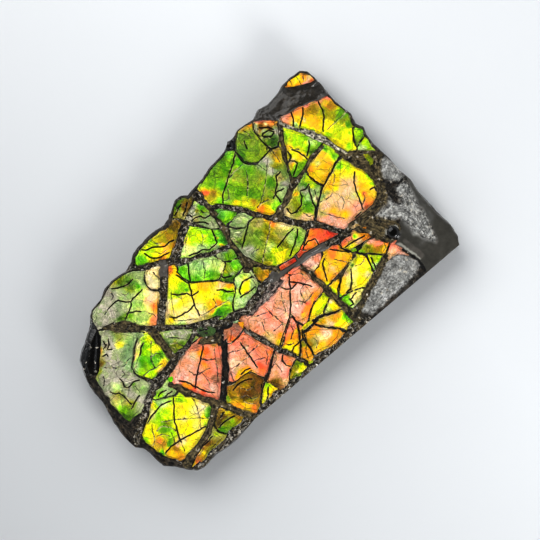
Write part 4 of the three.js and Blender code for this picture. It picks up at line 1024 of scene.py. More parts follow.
def build_sides(mesh, slab, rim_rock, settings):
    """Adds the slab's sides below its rim, row by row: broken along its layers, or sawn."""
    start = mesh.spots[0][mesh.ring]
    side = np.array(ROCKS["side"])
    none = np.zeros(len(start))
    way = np.arctan2(start[:, 1], start[:, 0])
    sawn = start[:, 1] < SAWN_SIDE + 0.15
    for step in range(1, settings.side_rows + 1):
        fall = (step / settings.side_rows) ** 0.8
        level = start[:, 2] * (1 - fall)
        reach = slab.radius(way, np.maximum(level, 0.03))
        reach = np.where(reach > 0, reach, np.hypot(start[:, 0], start[:, 1]))
        # Chips are about as wide as they are high, and layers are long and thin
        around = np.column_stack((way * 20, level * 1.6))
        layers = np.column_stack((way * 6, level * 9))
        chipped = np.abs(rubble(around, 2.4, 71, 4)) * settings.side_relief
        chipped += settings.layer_relief * rubble(layers, 2.4, 73, 2)
        chipped *= min(1, 3 * fall * (1.15 - fall))
        reach = reach - np.where(sawn, 0.0, chipped)
        place = np.stack((np.cos(way), np.sin(way)), axis=1) * reach[:, None]
        drift = 1 + 0.25 * rubble(around, 3.0, 77) + 0.5 * rubble(layers, 2.0, 79)
        lower_part = np.maximum(smooth_step(0.10, 0.32, fall), sawn)[:, None]
        shade = rim_rock[:, :3] * (1 - lower_part) + side[:3] * drift[:, None] * lower_part
        look = rim_rock[:, 3:6] * (1 - lower_part) + side[3:6] * lower_part
        look[sawn] = SAWN_LOOK
        mesh.lower(np.column_stack((place, level)), tone=np.column_stack((shade, none)),
                   finish=np.column_stack((look, none)), play=np.zeros((len(start), 4)))


def top_height(slab, ground, outside, settings):
    """The height of the slab's top: level with the plates beside them, and its own shape elsewhere."""
    points = ground.points
    own = smoothed_height(slab, points * 0.9995)
    level = np.where(np.isnan(ground.level), own, ground.level)
    away = smooth_step(0.35, 0.9, outside)
    height = level + (own - level) * away
    film = ground.film
    sunk = settings.vein_drop * (1 - away) * (1 - film) + 0.01 * film
    relief = ground.rock[:, 4] * (1 - film)
    grains = 0.7 * rubble(points, 1.0, 51, 3) + 0.9 * np.abs(ripple(points, 0.5, 53)) - 0.3
    height = height - sunk + settings.vein_relief * relief * grains + 0.06 * (1 - film) * ground.ridges()
    height = height + 0.04 * film * rubble(points, 1.2, 57, 3)
    return height


def smoothed_height(slab, points):
    """The height of the slab's top, evened out over two small rings around each point."""
    own = slab.height(points, SEAT)
    total, count = own.copy(), 1
    for turn in np.arange(0, math.tau, math.tau / 8):
        for reach in (0.3, 0.65):
            beside_it = slab.height(points + reach * np.array((math.cos(turn), math.sin(turn))), 0)
            total += np.where(beside_it > SEAT, beside_it, own)
            count += 1
    return np.maximum(total / count, SEAT + 0.3)


# ---- Loose bits: shell chips and grit ----

class Chip(Plate):
    """A small fragment of shell that lies in a vein."""

    def __init__(self, number, tone, outline, ground, settings):
        self.name = f"chip_{number}"
        self.settings = settings
        self.seed = 500 + number * 17
        edge = with_points_every(outline, settings.edge_step * 0.8, closed=True)
        if signed_area(edge) < 0:
            edge = edge[::-1]
        self.edge = sway(edge, settings.edge_step * 2, settings.edge_shake, self.seed)
        self.cracks, self.seams = [], []
        self.centres = np.array([self.edge.mean(axis=0)])
        self.reaches = np.array([1.0])
        self.tones = np.array([SHELL_TONES[tone]])
        level = np.median(ground.height(self.edge, SEAT + 1))
        dice = random.Random(self.seed)
        tilt = (dice.uniform(-CHIP_TILT, CHIP_TILT), dice.uniform(-CHIP_TILT, CHIP_TILT))
        middle = self.edge.mean(axis=0)
        base = level + settings.chip_lift - tilt[0] * middle[0] - tilt[1] * middle[1]
        self.plane = np.array([base, *tilt])
        self.floor = level - CHIP_DEPTH


def signed_area(loop):
    """The area of a loop, negative where it runs clockwise."""
    after = np.roll(loop, -1, axis=0)
    return 0.5 * float((loop[:, 0] * after[:, 1] - after[:, 0] * loop[:, 1]).sum())
# ---- Shader node groups ----

class Value:
    """A node's output, to write sums with."""

    def __init__(self, wire, socket):
        self.wire = wire
        self.socket = socket

    def __add__(self, other):
        return self.wire.math("ADD", self, other)

    def __radd__(self, other):
        return self.wire.math("ADD", other, self)

    def __sub__(self, other):
        return self.wire.math("SUBTRACT", self, other)

    def __mul__(self, other):
        return self.wire.math("MULTIPLY", self, other)

    def held(self):
        """The same sum, held between 0 and 1."""
        self.socket.node.use_clamp = True
        return self

    def stretch(self, low, high, to_low=0.0, to_high=1.0):
        """Its middle range spread out, and held between its ends."""
        inputs = {0: self, 1: low, 2: high, 3: to_low, 4: to_high}
        return self.wire.add("ShaderNodeMapRange", inputs, clamp=True)[0]

    def scaled(self, amount):
        """A colour or a place, scaled."""
        return self.wire.vector("SCALE", self, amount)

    def parts(self):
        """A colour's three parts."""
        split = self.wire.add("ShaderNodeSeparateColor", {0: self})
        return [split[part] for part in range(3)]


class Outlets:
    """A node, whose outputs are read as values by name or place."""

    def __init__(self, wire, node):
        self.wire = wire
        self.node = node

    def __getitem__(self, label):
        return Value(self.wire, self.node.outputs[label])


class Wiring:
    """A small helper that adds nodes to a tree and joins them."""

    def __init__(self, tree):
        self.tree = tree

    def feed(self, socket, value):
        """Sets a socket to a plain value, or links it to an output."""
        if isinstance(value, Value):
            self.tree.links.new(value.socket, socket)
        else:
            socket.default_value = value

    def add(self, kind, inputs=None, **settings):
        """A node of this kind, with plain values or links on its inputs."""
        node = self.tree.nodes.new(kind)
        for label, value in settings.items():
            setattr(node, label, value)
        for label, value in (inputs or {}).items():
            self.feed(node.inputs[label], value)
        return Outlets(self, node)

    def group(self, group, **inputs):
        """A node group with its inputs set."""
        return self.add("ShaderNodeGroup", inputs, node_tree=group)

    def math(self, operation, first, second=0.0):
        """One sum on two values."""
        return self.add("ShaderNodeMath", {0: first, 1: second}, operation=operation)[0]

    def most(self, first, second):
        """The larger of two values."""
        return self.math("MAXIMUM", first, second)

    def mix(self, amount, first, second):
        """A value between two others."""
        return self.add("ShaderNodeMix", {0: amount, 2: first, 3: second})[0]

    def blend(self, amount, first, second):
        """One colour laid over another."""
        return self.add("ShaderNodeMix", {0: amount, 6: first, 7: second}, data_type="RGBA")[2]

    def vector(self, operation, first, second):
        """One sum on two vectors, or on a vector and a scale."""
        inputs = {0: first, "Scale" if operation == "SCALE" else 1: second}
        return self.add("ShaderNodeVectorMath", inputs, operation=operation)[0]

    def noise(self, place, scale, detail=2.0, roughness=0.5, distortion=0.0):
        """Noise from 0 to 1."""
        inputs = {"Vector": place, "Scale": scale, "Detail": detail, "Roughness": roughness}
        return self.add("ShaderNodeTexNoise", {**inputs, "Distortion": distortion})

    def cells(self, place, scale, feature="F1"):
        """Cells, or the distance to their edges."""
        return self.add("ShaderNodeTexVoronoi", {"Vector": place, "Scale": scale}, feature=feature)

    def dress(self, shader, look, relief, strength, distance):
        """Sets a shader's inputs, and bumps it by a relief of so many millimetres."""
        inputs = {"Height": relief, "Strength": strength, "Distance": distance * MM}
        for label, value in {**look, "Normal": self.add("ShaderNodeBump", inputs)[0]}.items():
            self.feed(shader.node.inputs[label], value)


def new_group(name, inputs, outputs):
    """A node group with float inputs after its place, and float outputs unless one is a colour."""
    group = bpy.data.node_groups.new(name, "ShaderNodeTree")
    for label, value in inputs.items():
        kind = "NodeSocketVector" if value is None else "NodeSocketFloat"
        socket = group.interface.new_socket(name=label, in_out="INPUT", socket_type=kind)
        if value is not None:
            socket.default_value = value
    for label in outputs:
        kind = "NodeSocketColor" if label == "Color" else "NodeSocketFloat"
        group.interface.new_socket(name=label, in_out="OUTPUT", socket_type=kind)
    wire = Wiring(group)
    return group, wire, wire.add("NodeGroupInput"), wire.add("NodeGroupOutput").node.inputs


def scale_for(size):
    """The scale at which a pattern's bumps are size millimetres across."""
    return 1 / (size * MM)


# Sizes of the fine patterns on the shell and in the rock, in millimetres
BLOTCH = 1.3
SPECK = 0.30
STREAK = 0.21
TILE = 1.9
FLAKE = 0.75
SPLINTER = 0.42
CLOUD = 2.4
GRAIN = 0.40
LUMP = 0.62
FOLD = 0.85
FACET = 0.34
FACET_BEND = 0.35
# The shell's colours in the order of their play, each with its place from 0 to 1
SPECTRUM = (
    (0.00, (20, 104, 44)), (0.10, (62, 146, 30)), (0.24, (112, 200, 16)), (0.37, (188, 236, 14)),
    (0.50, (255, 242, 24)), (0.62, (255, 206, 26)), (0.73, (255, 160, 46)), (0.85, (255, 114, 66)),
    (1.00, (226, 62, 44)),
)
# Colours that stand on the shell and the rock in spots and lines
# Pale of chipped shell beside the cracks, also a painted highlight on their edges
CHIP_AND_HIGHLIGHT = linear((255, 238, 170))
CRACK = linear((22, 16, 9))
BROWN = linear((92, 70, 40))
# Near white of crystal specks and of the painted glints in the rock
CRYSTAL_AND_GLINT = linear((212, 204, 188))
# Black of the painted shade in the rock's pits
PIT_SHADE = linear((14, 12, 10))
HAIRLINE = linear((24, 22, 20))
# Near black of the painted shade around the plates' pockets
POCKET_SHADE = linear((16, 12, 8))


def spectrum_group(colours):
    """The play of colour: play, milk and gloom become one colour."""
    inputs = {"Play": 0.5, "Milk": 0.0, "Gloom": 0.0}
    group, wire, given, out = new_group("Play of colour", inputs, ["Color"])
    ramp = wire.add("ShaderNodeValToRGB", {"Fac": given["Play"]})
    stops = ramp.node.color_ramp.elements
    stops[0].position, stops[0].color = SPECTRUM[0][0], linear(SPECTRUM[0][1])
    stops[1].position, stops[1].color = SPECTRUM[-1][0], linear(SPECTRUM[-1][1])
    for position, colour in SPECTRUM[1:-1]:
        stops.new(position).color = linear(colour)
    paled = wire.blend(given["Milk"], ramp["Color"], (*colours.milk, 1.0))
    wire.feed(out["Color"], wire.blend(given["Gloom"], paled, (*colours.bare_shell, 1.0)))
    return group


def crackle_group():
    """Fine cracks between cells: a line mask and a number for each cell."""
    inputs = {"Vector": None, "Scale": 1000.0, "Width": 0.04, "Patchiness": 0.5}
    group, wire, given, out = new_group("Crackle", inputs, ["Line", "Cell", "Other"])
    place, scale = given["Vector"], given["Scale"]
    shift = wire.vector("SUBTRACT", wire.noise(place, scale)["Color"], (0.5, 0.5, 0.5))
    warped = wire.vector("ADD", place, shift.scaled(wire.math("DIVIDE", 0.7, scale)))
    edges = wire.cells(warped, scale, "DISTANCE_TO_EDGE")["Distance"]
    gate = wire.noise(place, scale * 0.45)["Fac"] - given["Patchiness"]
    wire.feed(out["Line"], edges.stretch(0.0, given["Width"], 1.0, 0.0) * gate.stretch(-0.06, 0.06))
    cell = wire.cells(warped, scale)["Color"].parts()
    wire.feed(out["Cell"], cell[0])
    wire.feed(out["Other"], cell[1])
    return group


def mottle_group():
    """Two sizes of soft blotches added together, centred on 0."""
    group, wire, given, out = new_group("Mottle", {"Vector": None, "Scale": 1000.0}, ["Value"])
    place, scale = given["Vector"], given["Scale"]
    broad = wire.noise(place, scale, 3.0, distortion=0.8)["Fac"]
    fine = wire.noise(place, scale * 3.7)["Fac"]
    wire.feed(out["Value"], broad + fine * 0.5 - 0.75)
    return group


def strokes_group():
    """Fine streaks that run along the shell's growth and bend with it, centred on 0."""
    group, wire, given, out = new_group("Growth streaks", {"Vector": None, "Width": 0.16 * MM}, ["Value"])
    place = given["Vector"]
    scale = wire.math("DIVIDE", 1.0, given["Width"])
    turn = wire.noise(place, scale * 0.05, 1.0)["Fac"].stretch(0.3, 0.7, -0.4, 2.2)
    turned = wire.add("ShaderNodeVectorRotate", {"Vector": place, "Angle": turn}, rotation_type="Z_AXIS")
    drawn = wire.vector("MULTIPLY", turned[0], (1.0, 0.2, 1.0))
    wire.feed(out["Value"], wire.noise(drawn, scale, distortion=0.6)["Fac"] - 0.5)
    return group


def new_material(name):
    """An empty material with its shader and its place on the piece."""
    material = bpy.data.materials.new(name)
    material.use_nodes = True
    material.node_tree.nodes.clear()
    wire = Wiring(material.node_tree)
    shader = wire.add("ShaderNodeBsdfPrincipled")
    wire.add("ShaderNodeOutputMaterial", {0: shader[0]})
    return material, wire, shader, wire.add("ShaderNodeTexCoord")["Object"]


def mottles(wire, groups, place, *sizes):
    """Soft blotches of each size, in millimetres."""
    return [wire.group(groups["mottle"], Vector=place, Scale=scale_for(size))[0] for size in sizes]


def shell_inputs(wire, groups, place):
    """The shell's measures from the piece, with their fine variation: colour, lines, relief and gloom."""
    paint = wire.add("ShaderNodeAttribute", attribute_name="play")
    own_play, own_milk, own_gloom = paint["Color"].parts()
    crack = paint["Alpha"]
    broad, fine = mottles(wire, groups, place, BLOTCH, SPECK)
    strokes = wire.group(groups["strokes"], Vector=place, Width=STREAK * MM)[0]
    crackle = groups["crackle"]
    tiles = wire.group(crackle, Vector=place, Scale=scale_for(TILE), Width=0.030, Patchiness=0.50)
    flakes = wire.group(crackle, Vector=place, Scale=scale_for(FLAKE), Width=0.05, Patchiness=0.56)
    splinter = wire.cells(place, scale_for(SPLINTER))["Color"].parts()
    cell = tiles["Cell"] - 0.5
    other = flakes["Other"] - 0.5
    play = own_play + broad * 0.12 + fine * 0.06 + strokes * 0.12 + other * 0.05 + cell * 0.09
    spread = (other + broad) * 0.5 + strokes * 0.7
    milk = own_milk + spread * (own_milk + 0.06)
    gloom = (own_gloom - fine * 0.35 - strokes * 0.45) * own_gloom.stretch(0.0, 0.15)
    colour = wire.group(groups["spectrum"], Play=play.held(), Milk=milk.held(), Gloom=gloom.held())[0]
    # Partly the shell's own streaks and partly painted light: the streaks and mottles that raise the bump
    # also brighten the colour, as highlights within the plates
    light = strokes * 1.7 + fine * 0.6 + cell * 0.30 + broad * 0.5
    colour = colour.scaled(light.stretch(-0.6, 0.7, 0.42, 1.75))
    # Fine cracks darken the shell's own colour, and open ones show the dark rock below
    hairlines = wire.most(tiles["Line"], flakes["Line"] * 0.5)
    shade = hairlines.stretch(0.0, 1.0, 1.0, 0.35)
    shade = wire.math("MINIMUM", shade, crack.stretch(0.10, 0.26, 1.0, 0.30))
    frayed = crack.stretch(0.02, 0.16)
    # Pale chips beside the cracks: partly chipped shell, partly a painted highlight on the cracks' edges
    bright = frayed * splinter[0].stretch(0.72, 0.80)
    colour = wire.blend(bright * 0.45, colour.scaled(shade), CHIP_AND_HIGHLIGHT)
    dark = frayed * splinter[1].stretch(0.70, 0.76)
    jag = fine * 1.1 + (splinter[2] - 0.5) * 0.25
    open_crack = (crack + jag).stretch(0.38, 0.55) * crack.stretch(0.02, 0.12)
    lines = wire.most(open_crack, dark * 0.8)
    colour = wire.blend(lines * 0.96, colour, CRACK)
    return colour, wire.most(lines, hairlines * 0.6), fine + strokes, gloom


def nacre(groups):
    """Polished shell that plays in bright colours under a clear skin."""
    material, wire, shader, place = new_material("iridescent_nacre")
    colour, lines, fine, gloom = shell_inputs(wire, groups, place)
    look = {"Base Color": colour, "Roughness": 0.24 + lines * 0.35 + gloom * 0.14,
            "Specular IOR Level": 0.35, "Coat Weight": 0.6, "Coat Roughness": 0.10, "Coat IOR": 1.5}
    wire.dress(shader, look, fine * 0.45 - lines, 0.8, 0.08)
    return material


def shale(groups):
    """The slab's rock, with crushed shell between the plates and mineral in the veins; its glints are painted
    highlights, and its pits and the gaps around the plates have painted shade.
    """
    material, wire, shader, place = new_material("veined_shale")
    film_colour, lines, fine, _ = shell_inputs(wire, groups, place)
    tone = wire.add("ShaderNodeAttribute", attribute_name="tone")
    finish = wire.add("ShaderNodeAttribute", attribute_name="finish")
    rough_kind, relief_kind, glint_kind = finish["Color"].parts()
    clouds, grain = mottles(wire, groups, place, CLOUD, GRAIN)
    lumps = wire.noise(place, scale_for(LUMP), 4.0, 0.62)["Fac"]
    folds = wire.noise(place, scale_for(FOLD), 3.0, 0.6)["Fac"]
    bend = wire.noise(place, scale_for(FACET_BEND), 2.0, 0.55)["Color"]
    bent = wire.vector("ADD", place, bend.scaled(0.45 * MM))
    facet = wire.cells(bent, scale_for(FACET))["Color"].parts()
    crest = wire.math("ABSOLUTE", folds - 0.5).stretch(0.0, 0.045, 1.0, 0.0)
    brown = clouds.stretch(0.0, 0.25, 0.0, 0.45) * relief_kind
    tint = wire.blend(brown, tone["Color"], BROWN)
    # Painted shade and light: pits are painted black and the higher lumps pale, following the bump, the more
    # so the rougher the rock
    lumpy = lumps + grain * 0.35
    lump_light_and_shade = lumpy.stretch(0.40, 0.62, 0.16, 1.8)
    deep = tint.scaled(wire.mix(relief_kind, clouds.stretch(-0.3, 0.3, 0.8, 1.2), lump_light_and_shade))
    # Painted highlights: glints and the crests of the folds are painted near white, partly real crystal
    # specks
    glint = facet[0] - glint_kind.stretch(0.0, 1.0, 1.02, 0.72)
    glint = glint.stretch(0.0, 0.04) * lumps.stretch(0.46, 0.54)
    edge = crest * facet[1].stretch(0.15, 0.6) * glint_kind.stretch(0.40, 0.60)
    glint = wire.most(glint, edge)
    rock = wire.blend(glint * 0.85, deep, CRYSTAL_AND_GLINT)
    # Painted shade: the pits, which the bump also sinks, are painted near black
    pit_shade = facet[2].stretch(0.16, 0.24, 1.0, 0.0) * relief_kind.stretch(0.3, 0.6)
    rock = wire.blend(pit_shade * 0.8, rock, PIT_SHADE)
    fine_cracked = relief_kind.stretch(0.25, 0.35) * relief_kind.stretch(0.5, 0.7, 1.0, 0.0)
    wrinkles = wire.most(lines * 1.25, crest * 0.55)
    rock = wire.blend(fine_cracked * wrinkles, rock, HAIRLINE)
    film = tone["Alpha"].stretch(0.35, 0.65)
    colour = wire.blend(film, rock, film_colour)
    # Painted shade around the plates' pockets
    colour = wire.blend(finish["Alpha"] * 0.9, colour, POCKET_SHADE)
    rough = (rough_kind - glint * 0.2).held()
    smooth_coat = wire.most(relief_kind.stretch(0.3, 0.6, 0.6, 0.0), glint)
    look = {"Base Color": colour, "Roughness": wire.mix(film, rough, 0.30), "Specular IOR Level": 0.35,
            "Coat Weight": wire.mix(film, smooth_coat, 0.5), "Coat Roughness": 0.14}
    stony = (lumpy * 2.2 + facet[2] * 0.22 + edge * 0.5 - pit_shade * 0.5) * relief_kind
    wire.dress(shader, look, wire.mix(film, stony, (fine - lines) * 0.4), 0.9, 0.16)
    return material


def paper(settings):
    """The matte pale surface that the specimen lies on, with painted shade that darkens it towards one side.
    """
    material, wire, shader, place = new_material("pale_paper")
    across = wire.add("ShaderNodeSeparateXYZ", {0: place})["X"]
    dull = tuple(part * 0.97 for part in settings.floor_colour)
    cloudy = wire.noise(place, scale_for(30.0), 3.0, 0.55)["Fac"]
    even = wire.blend(cloudy, (*settings.floor_colour, 1.0), (*dull, 1.0))
    # Painted shade: the surface darkens along x, as if its light fell off
    falloff = across.stretch(settings.floor_start * MM, settings.floor_end * MM, settings.floor_painted_shade, 1.0)
    look = {"Base Color": even.scaled(falloff), "Roughness": 0.75}
    wire.dress(shader, look, wire.noise(place, scale_for(0.5), 3.0, 0.55)["Fac"], 0.05, 0.1)
    return material




# ---- Settings ----

def measure(name, about, value, **more):
    """A plain number to set."""
    return bpy.props.FloatProperty(name=name, description=about, default=value, **more)


def number(name, about, value):
    """A whole number to set."""
    return bpy.props.IntProperty(name=name, description=about, default=value)


def colour(name, about, value):
    """A colour to set."""
    return bpy.props.FloatVectorProperty(name=name, description=about, default=value, subtype="COLOR")


class ShellSettings(bpy.types.PropertyGroup):
    """How the shell is broken and worn. Lengths are in millimetres."""

    face_step: measure("Face grain", "Spacing of a face's points", 0.14)
    edge_step: measure("Edge grain", "Length of a break's smallest turns", 0.3)
    edge_shake: measure("Edge raggedness", "How far a break wanders", 0.06)
    edge_growth: measure("Edge reach", "How far a face reaches past the flat of its solid", 0.08)
    edge_wear: measure("Edge wear", "Width of the worn border", 0.16)
    edge_drop: measure("Edge drop", "How far the worn border falls", 0.06)
    wall_spread: measure("Side spread", "How far the sides stand out below", 0.01)
    crack_width: measure("Crack width", "Half the width of an open crack", 0.13)
    crack_depth: measure("Crack depth", "Depth of an open crack", 0.14)
    face_relief: measure("Face relief", "Height of a face's low swells", 0.05)
    colour_drift: measure("Colour drift", "How far the colours' borders wander", 0.45)
    play_patches: measure("Colour patches", "Strength of patches within a colour", 0.07)
    chip_lift: measure("Chip lift", "How far a loose chip stands out of its vein", 0.10)


class SlabSettings(bpy.types.PropertyGroup):
    """The slab's break surfaces. Lengths are in millimetres."""

    vein_step: measure("Vein grain", "Spacing of the top's points", 0.135)
    vein_drop: measure("Vein drop", "How far a vein lies below its plates", 0.16)
    vein_relief: measure("Vein relief", "Height of the bumps in a vein", 0.16)
    pocket_gap: measure("Pocket gap", "Gap between a plate and its pocket", 0.03)
    side_columns: number("Side columns", "Facets around the slab", 900)
    side_rows: number("Side rows", "Facets from the slab's rim to its foot", 22)
    side_relief: measure("Side relief", "Depth of the chips in the broken sides", 0.45)
    layer_relief: measure("Layer relief", "Depth of the layers in the broken sides", 0.10)
    boss_flatness: measure("Knob height", "Height of a knob against its reach", 0.45)
    boss_sink: measure("Knob depth", "How far a knob's middle lies below the top", 0.12)
    grit_count: number("Grit", "Number of loose grains in the veins", 900)
    grit_size: measure("Grit size", "Width of a usual grain", 0.26)


class ColourSettings(bpy.types.PropertyGroup):
    """The colours that stay the same all over the specimen."""

    milk: colour("Milk", "Colour that pales the shell", linear((236, 228, 206))[:3])
    bare_shell: colour("Bare shell", "Colour of shell without its play", linear((52, 44, 14))[:3])
    floor_colour: colour("Floor", "Colour of the surface below", (0.80, 0.808, 0.812))
    # Painted shade on the surface's far side
    floor_painted_shade: measure("Floor falloff", "How bright the surface's far side is", 0.70)
    floor_start: measure("Falloff start", "Where the falloff starts along the specimen, in mm", -60.0)
    floor_end: measure("Falloff end", "Where the falloff ends along the specimen, in mm", 22.0)


VIEW_TURN = math.radians(-40.4)


class StudioSettings(bpy.types.PropertyGroup):
    """The camera and the soft lights."""

    view_centre: bpy.props.FloatVectorProperty(
        name="View centre", description="Point in the middle of the view",
        subtype="TRANSLATION", unit="LENGTH", default=(3.92 * MM, -1.93 * MM, 6.2 * MM))
    view_width: measure("View width", "Width seen at the specimen", 81.0 * MM, unit="LENGTH")
    view_distance: measure("View distance", "Height of the camera", 0.6, unit="LENGTH")
    view_turn: measure("View turn", "Turn of the camera about the vertical", VIEW_TURN, subtype="ANGLE")
    key_power: measure("Key light", "Strength of the main light", 0.48, unit="POWER")
    fill_power: measure("Fill light", "Strength of the broad light", 0.26, unit="POWER")
    sky_strength: measure("Sky", "Strength of the light from all round", 0.82)
    exposure: measure("Exposure", "Brightness of the view", 0.54)
    gamma: measure("Gamma", "Depth of the view's dark tones", 0.714)
    overhead_strength: measure("Overhead", "Strength of the light straight overhead", 0.04)


# ---- Operators ----

def material_set(scene):
    """The specimen's materials, made once and shared by its pieces."""
    made = {"nacre": bpy.data.materials.get("iridescent_nacre"),
            "shale": bpy.data.materials.get("veined_shale")}
    if all(made.values()):
        return made
    groups = {"spectrum": spectrum_group(scene.ammolite_colours), "crackle": crackle_group(),
              "mottle": mottle_group(), "strokes": strokes_group()}
    return {"nacre": nacre(groups), "shale": shale(groups)}


def slot_of(node):
    """The record's material slot of a CAD node."""
    for part in frame["record"]["subparts"]:
        if part["node"] == node:
            return part["material_slot"]
    raise ValueError(f"the record has no sub-part {node}")


class AMMOLITE_OT_plates(bpy.types.Operator):
    """Dress every shell plate with its worn face, cracks and colours"""

    bl_idname = "ammolite.plates"
    bl_label = "Shell plates"

    def execute(self, context):
        material = material_set(context.scene)["nacre"]
        for name, plate in all_plates(context.scene.ammolite_shell).items():
            piece = build_plate(plate, material)
            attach(piece, "root")
            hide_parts("shell_" + name)
            slot_of("shell_" + name)
        return {"FINISHED"}


class AMMOLITE_OT_slab(bpy.types.Operator):
    """Dress the shale slab with its veins, broken sides and sawn side"""

    bl_idname = "ammolite.slab"
    bl_label = "Shale slab"

    def execute(self, context):
        scene = context.scene
        piece = build_slab(scene.ammolite_slab, scene.ammolite_shell, material_set(scene)["shale"])
        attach(piece, "root")
        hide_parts("matrix")
        return {"FINISHED"}


class AMMOLITE_OT_chips(bpy.types.Operator):
    """Lay the small shell chips in the veins"""

    bl_idname = "ammolite.chips"
    bl_label = "Shell chips"

    def execute(self, context):
        scene = context.scene
        material = material_set(scene)["nacre"]
        ground = solid_of(bpy.data.objects["shale_slab"])
        pieces = []
        for number, (tone, outline) in enumerate(entries(CHIPS)):
            chip = Chip(number, tone, read_path(outline), ground, scene.ammolite_shell)
            pieces.append(build_plate(chip, material))
        join(pieces, "shell_chips")
        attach(pieces[0], "root")
        return {"FINISHED"}


class AMMOLITE_OT_grit(bpy.types.Operator):
    """Scatter crystals and grains over the veins and the granular rock"""

    bl_idname = "ammolite.grit"
    bl_label = "Vein grit"

    def execute(self, context):
        scene = context.scene
        piece = build_grit(scene.ammolite_slab, material_set(scene)["shale"])
        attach(piece, "root")
        return {"FINISHED"}


class AMMOLITE_OT_studio(bpy.types.Operator):
    """Set the pale surface, the soft lights and the camera"""

    bl_idname = "ammolite.studio"
    bl_label = "Studio"

    def execute(self, context):
        scene = context.scene
        studio = scene.ammolite_studio
        bpy.ops.object.select_all(action="DESELECT")
        bpy.ops.mesh.primitive_plane_add(size=1.2, location=(0, 0, 0))
        floor = context.object
        floor.name = "pale_surface"
        floor.data.materials.append(paper(scene.ammolite_colours))
        soft_light("key", scene, turn=128, rise=50, distance=0.32, size=0.26, power=studio.key_power)
        soft_light("fill", scene, turn=-50, rise=30, distance=0.30, size=0.10, power=studio.fill_power)
        scene.world = soft_sky(studio)
        scene.view_settings.view_transform = "Standard"
        scene.view_settings.exposure = studio.exposure
        scene.view_settings.gamma = studio.gamma
        place_camera(scene, studio)
        return {"FINISHED"}


def soft_light(name, scene, turn, rise, distance, size, power):
    """An area light that looks at the specimen. Turn 0 is the right of the view, 90 its top."""
    studio = scene.ammolite_studio
    lamp = bpy.data.lights.new(name, "AREA")
    lamp.size = size
    lamp.energy = power
    light = bpy.data.objects.new(name, lamp)
    around = math.radians(turn) + studio.view_turn
    lift = math.radians(rise)
    way = Vector((math.cos(around) * math.cos(lift), math.sin(around) * math.cos(lift), math.sin(lift)))
    light.location = Vector(studio.view_centre) + way * distance
    light.rotation_euler = way.to_track_quat("Z", "Y").to_euler()
    scene.collection.objects.link(light)


def soft_sky(studio):
    """Even light from all sides that fades straight overhead, where the viewer blocks it."""
    world = bpy.data.worlds.new("studio")
    world.use_nodes = True
    wire = Wiring(world.node_tree)
    backdrop = world.node_tree.nodes["Background"].inputs
    backdrop["Color"].default_value = (0.93, 0.96, 1.0, 1.0)
    up = wire.add("ShaderNodeSeparateXYZ", {0: wire.add("ShaderNodeTexCoord")["Generated"]})["Z"]
    strength = up.stretch(0.50, 0.88, studio.sky_strength, studio.overhead_strength)
    wire.feed(backdrop["Strength"], strength)
    return world


def place_camera(scene, studio):
    """A camera straight above the specimen."""
    data = bpy.data.cameras.new("camera")
    data.lens = data.sensor_width * studio.view_distance / studio.view_width
    camera = bpy.data.objects.new("camera", data)
    camera.location = Vector(studio.view_centre) + Vector((0, 0, studio.view_distance))
    camera.rotation_euler = (0, 0, studio.view_turn)
    data.clip_start = 0.05
    data.clip_end = 5
    scene.collection.objects.link(camera)
    scene.camera = camera


def join(pieces, name):
    """Joins pieces into the first of them."""
    bpy.ops.object.select_all(action="DESELECT")
    for piece in pieces:
        piece.select_set(True)
    bpy.context.view_layer.objects.active = pieces[0]
    bpy.ops.object.join()
    pieces[0].name = name
    pieces[0].select_set(False)


class Bits:
    """Many small bodies of rock, gathered into one mesh."""

    def __init__(self):
        self.spots, self.faces, self.tones, self.finishes = [], [], [], []
        self.count = 0

    def add(self, shape, sides, colour, finish):
        """Adds one body: its corners, its sides, its colour and its finish."""
        self.spots.append(shape)
        self.faces += [[self.count + index for index in side] for side in sides]
        self.tones.append(np.tile((*colour, 0.0), (len(shape), 1)))
        self.finishes.append(np.tile((*finish, 0.0), (len(shape), 1)))
        self.count += len(shape)

    def piece(self, name, material, smooth_angle):
        """All of them as one piece."""
        attributes = {"tone": np.vstack(self.tones), "finish": np.vstack(self.finishes)}
        attributes["play"] = np.zeros((self.count, 4))
        return new_piece(name, np.vstack(self.spots), self.faces, attributes, material, smooth_angle)


def grit_spot(beds, areas, in_vein, dice):
    """A grain's place, in a vein or on bare rock, or None where it misses, and the rock there."""
    if in_vein:
        path, kind = beds[dice.integers(len(beds))]
        along = dice.uniform(0, len(path) - 1)
        middle = [np.interp(along, np.arange(len(path)), path[:, axis]) for axis in range(3)]
        return np.array(middle[:2]) + dice.uniform(-0.45, 0.45, 2) * middle[2], kind
    outline, kind = areas[dice.integers(len(areas))]
    place = dice.uniform(outline.min(axis=0), outline.max(axis=0))
    return (place if inside(place[None], outline)[0] else None), kind


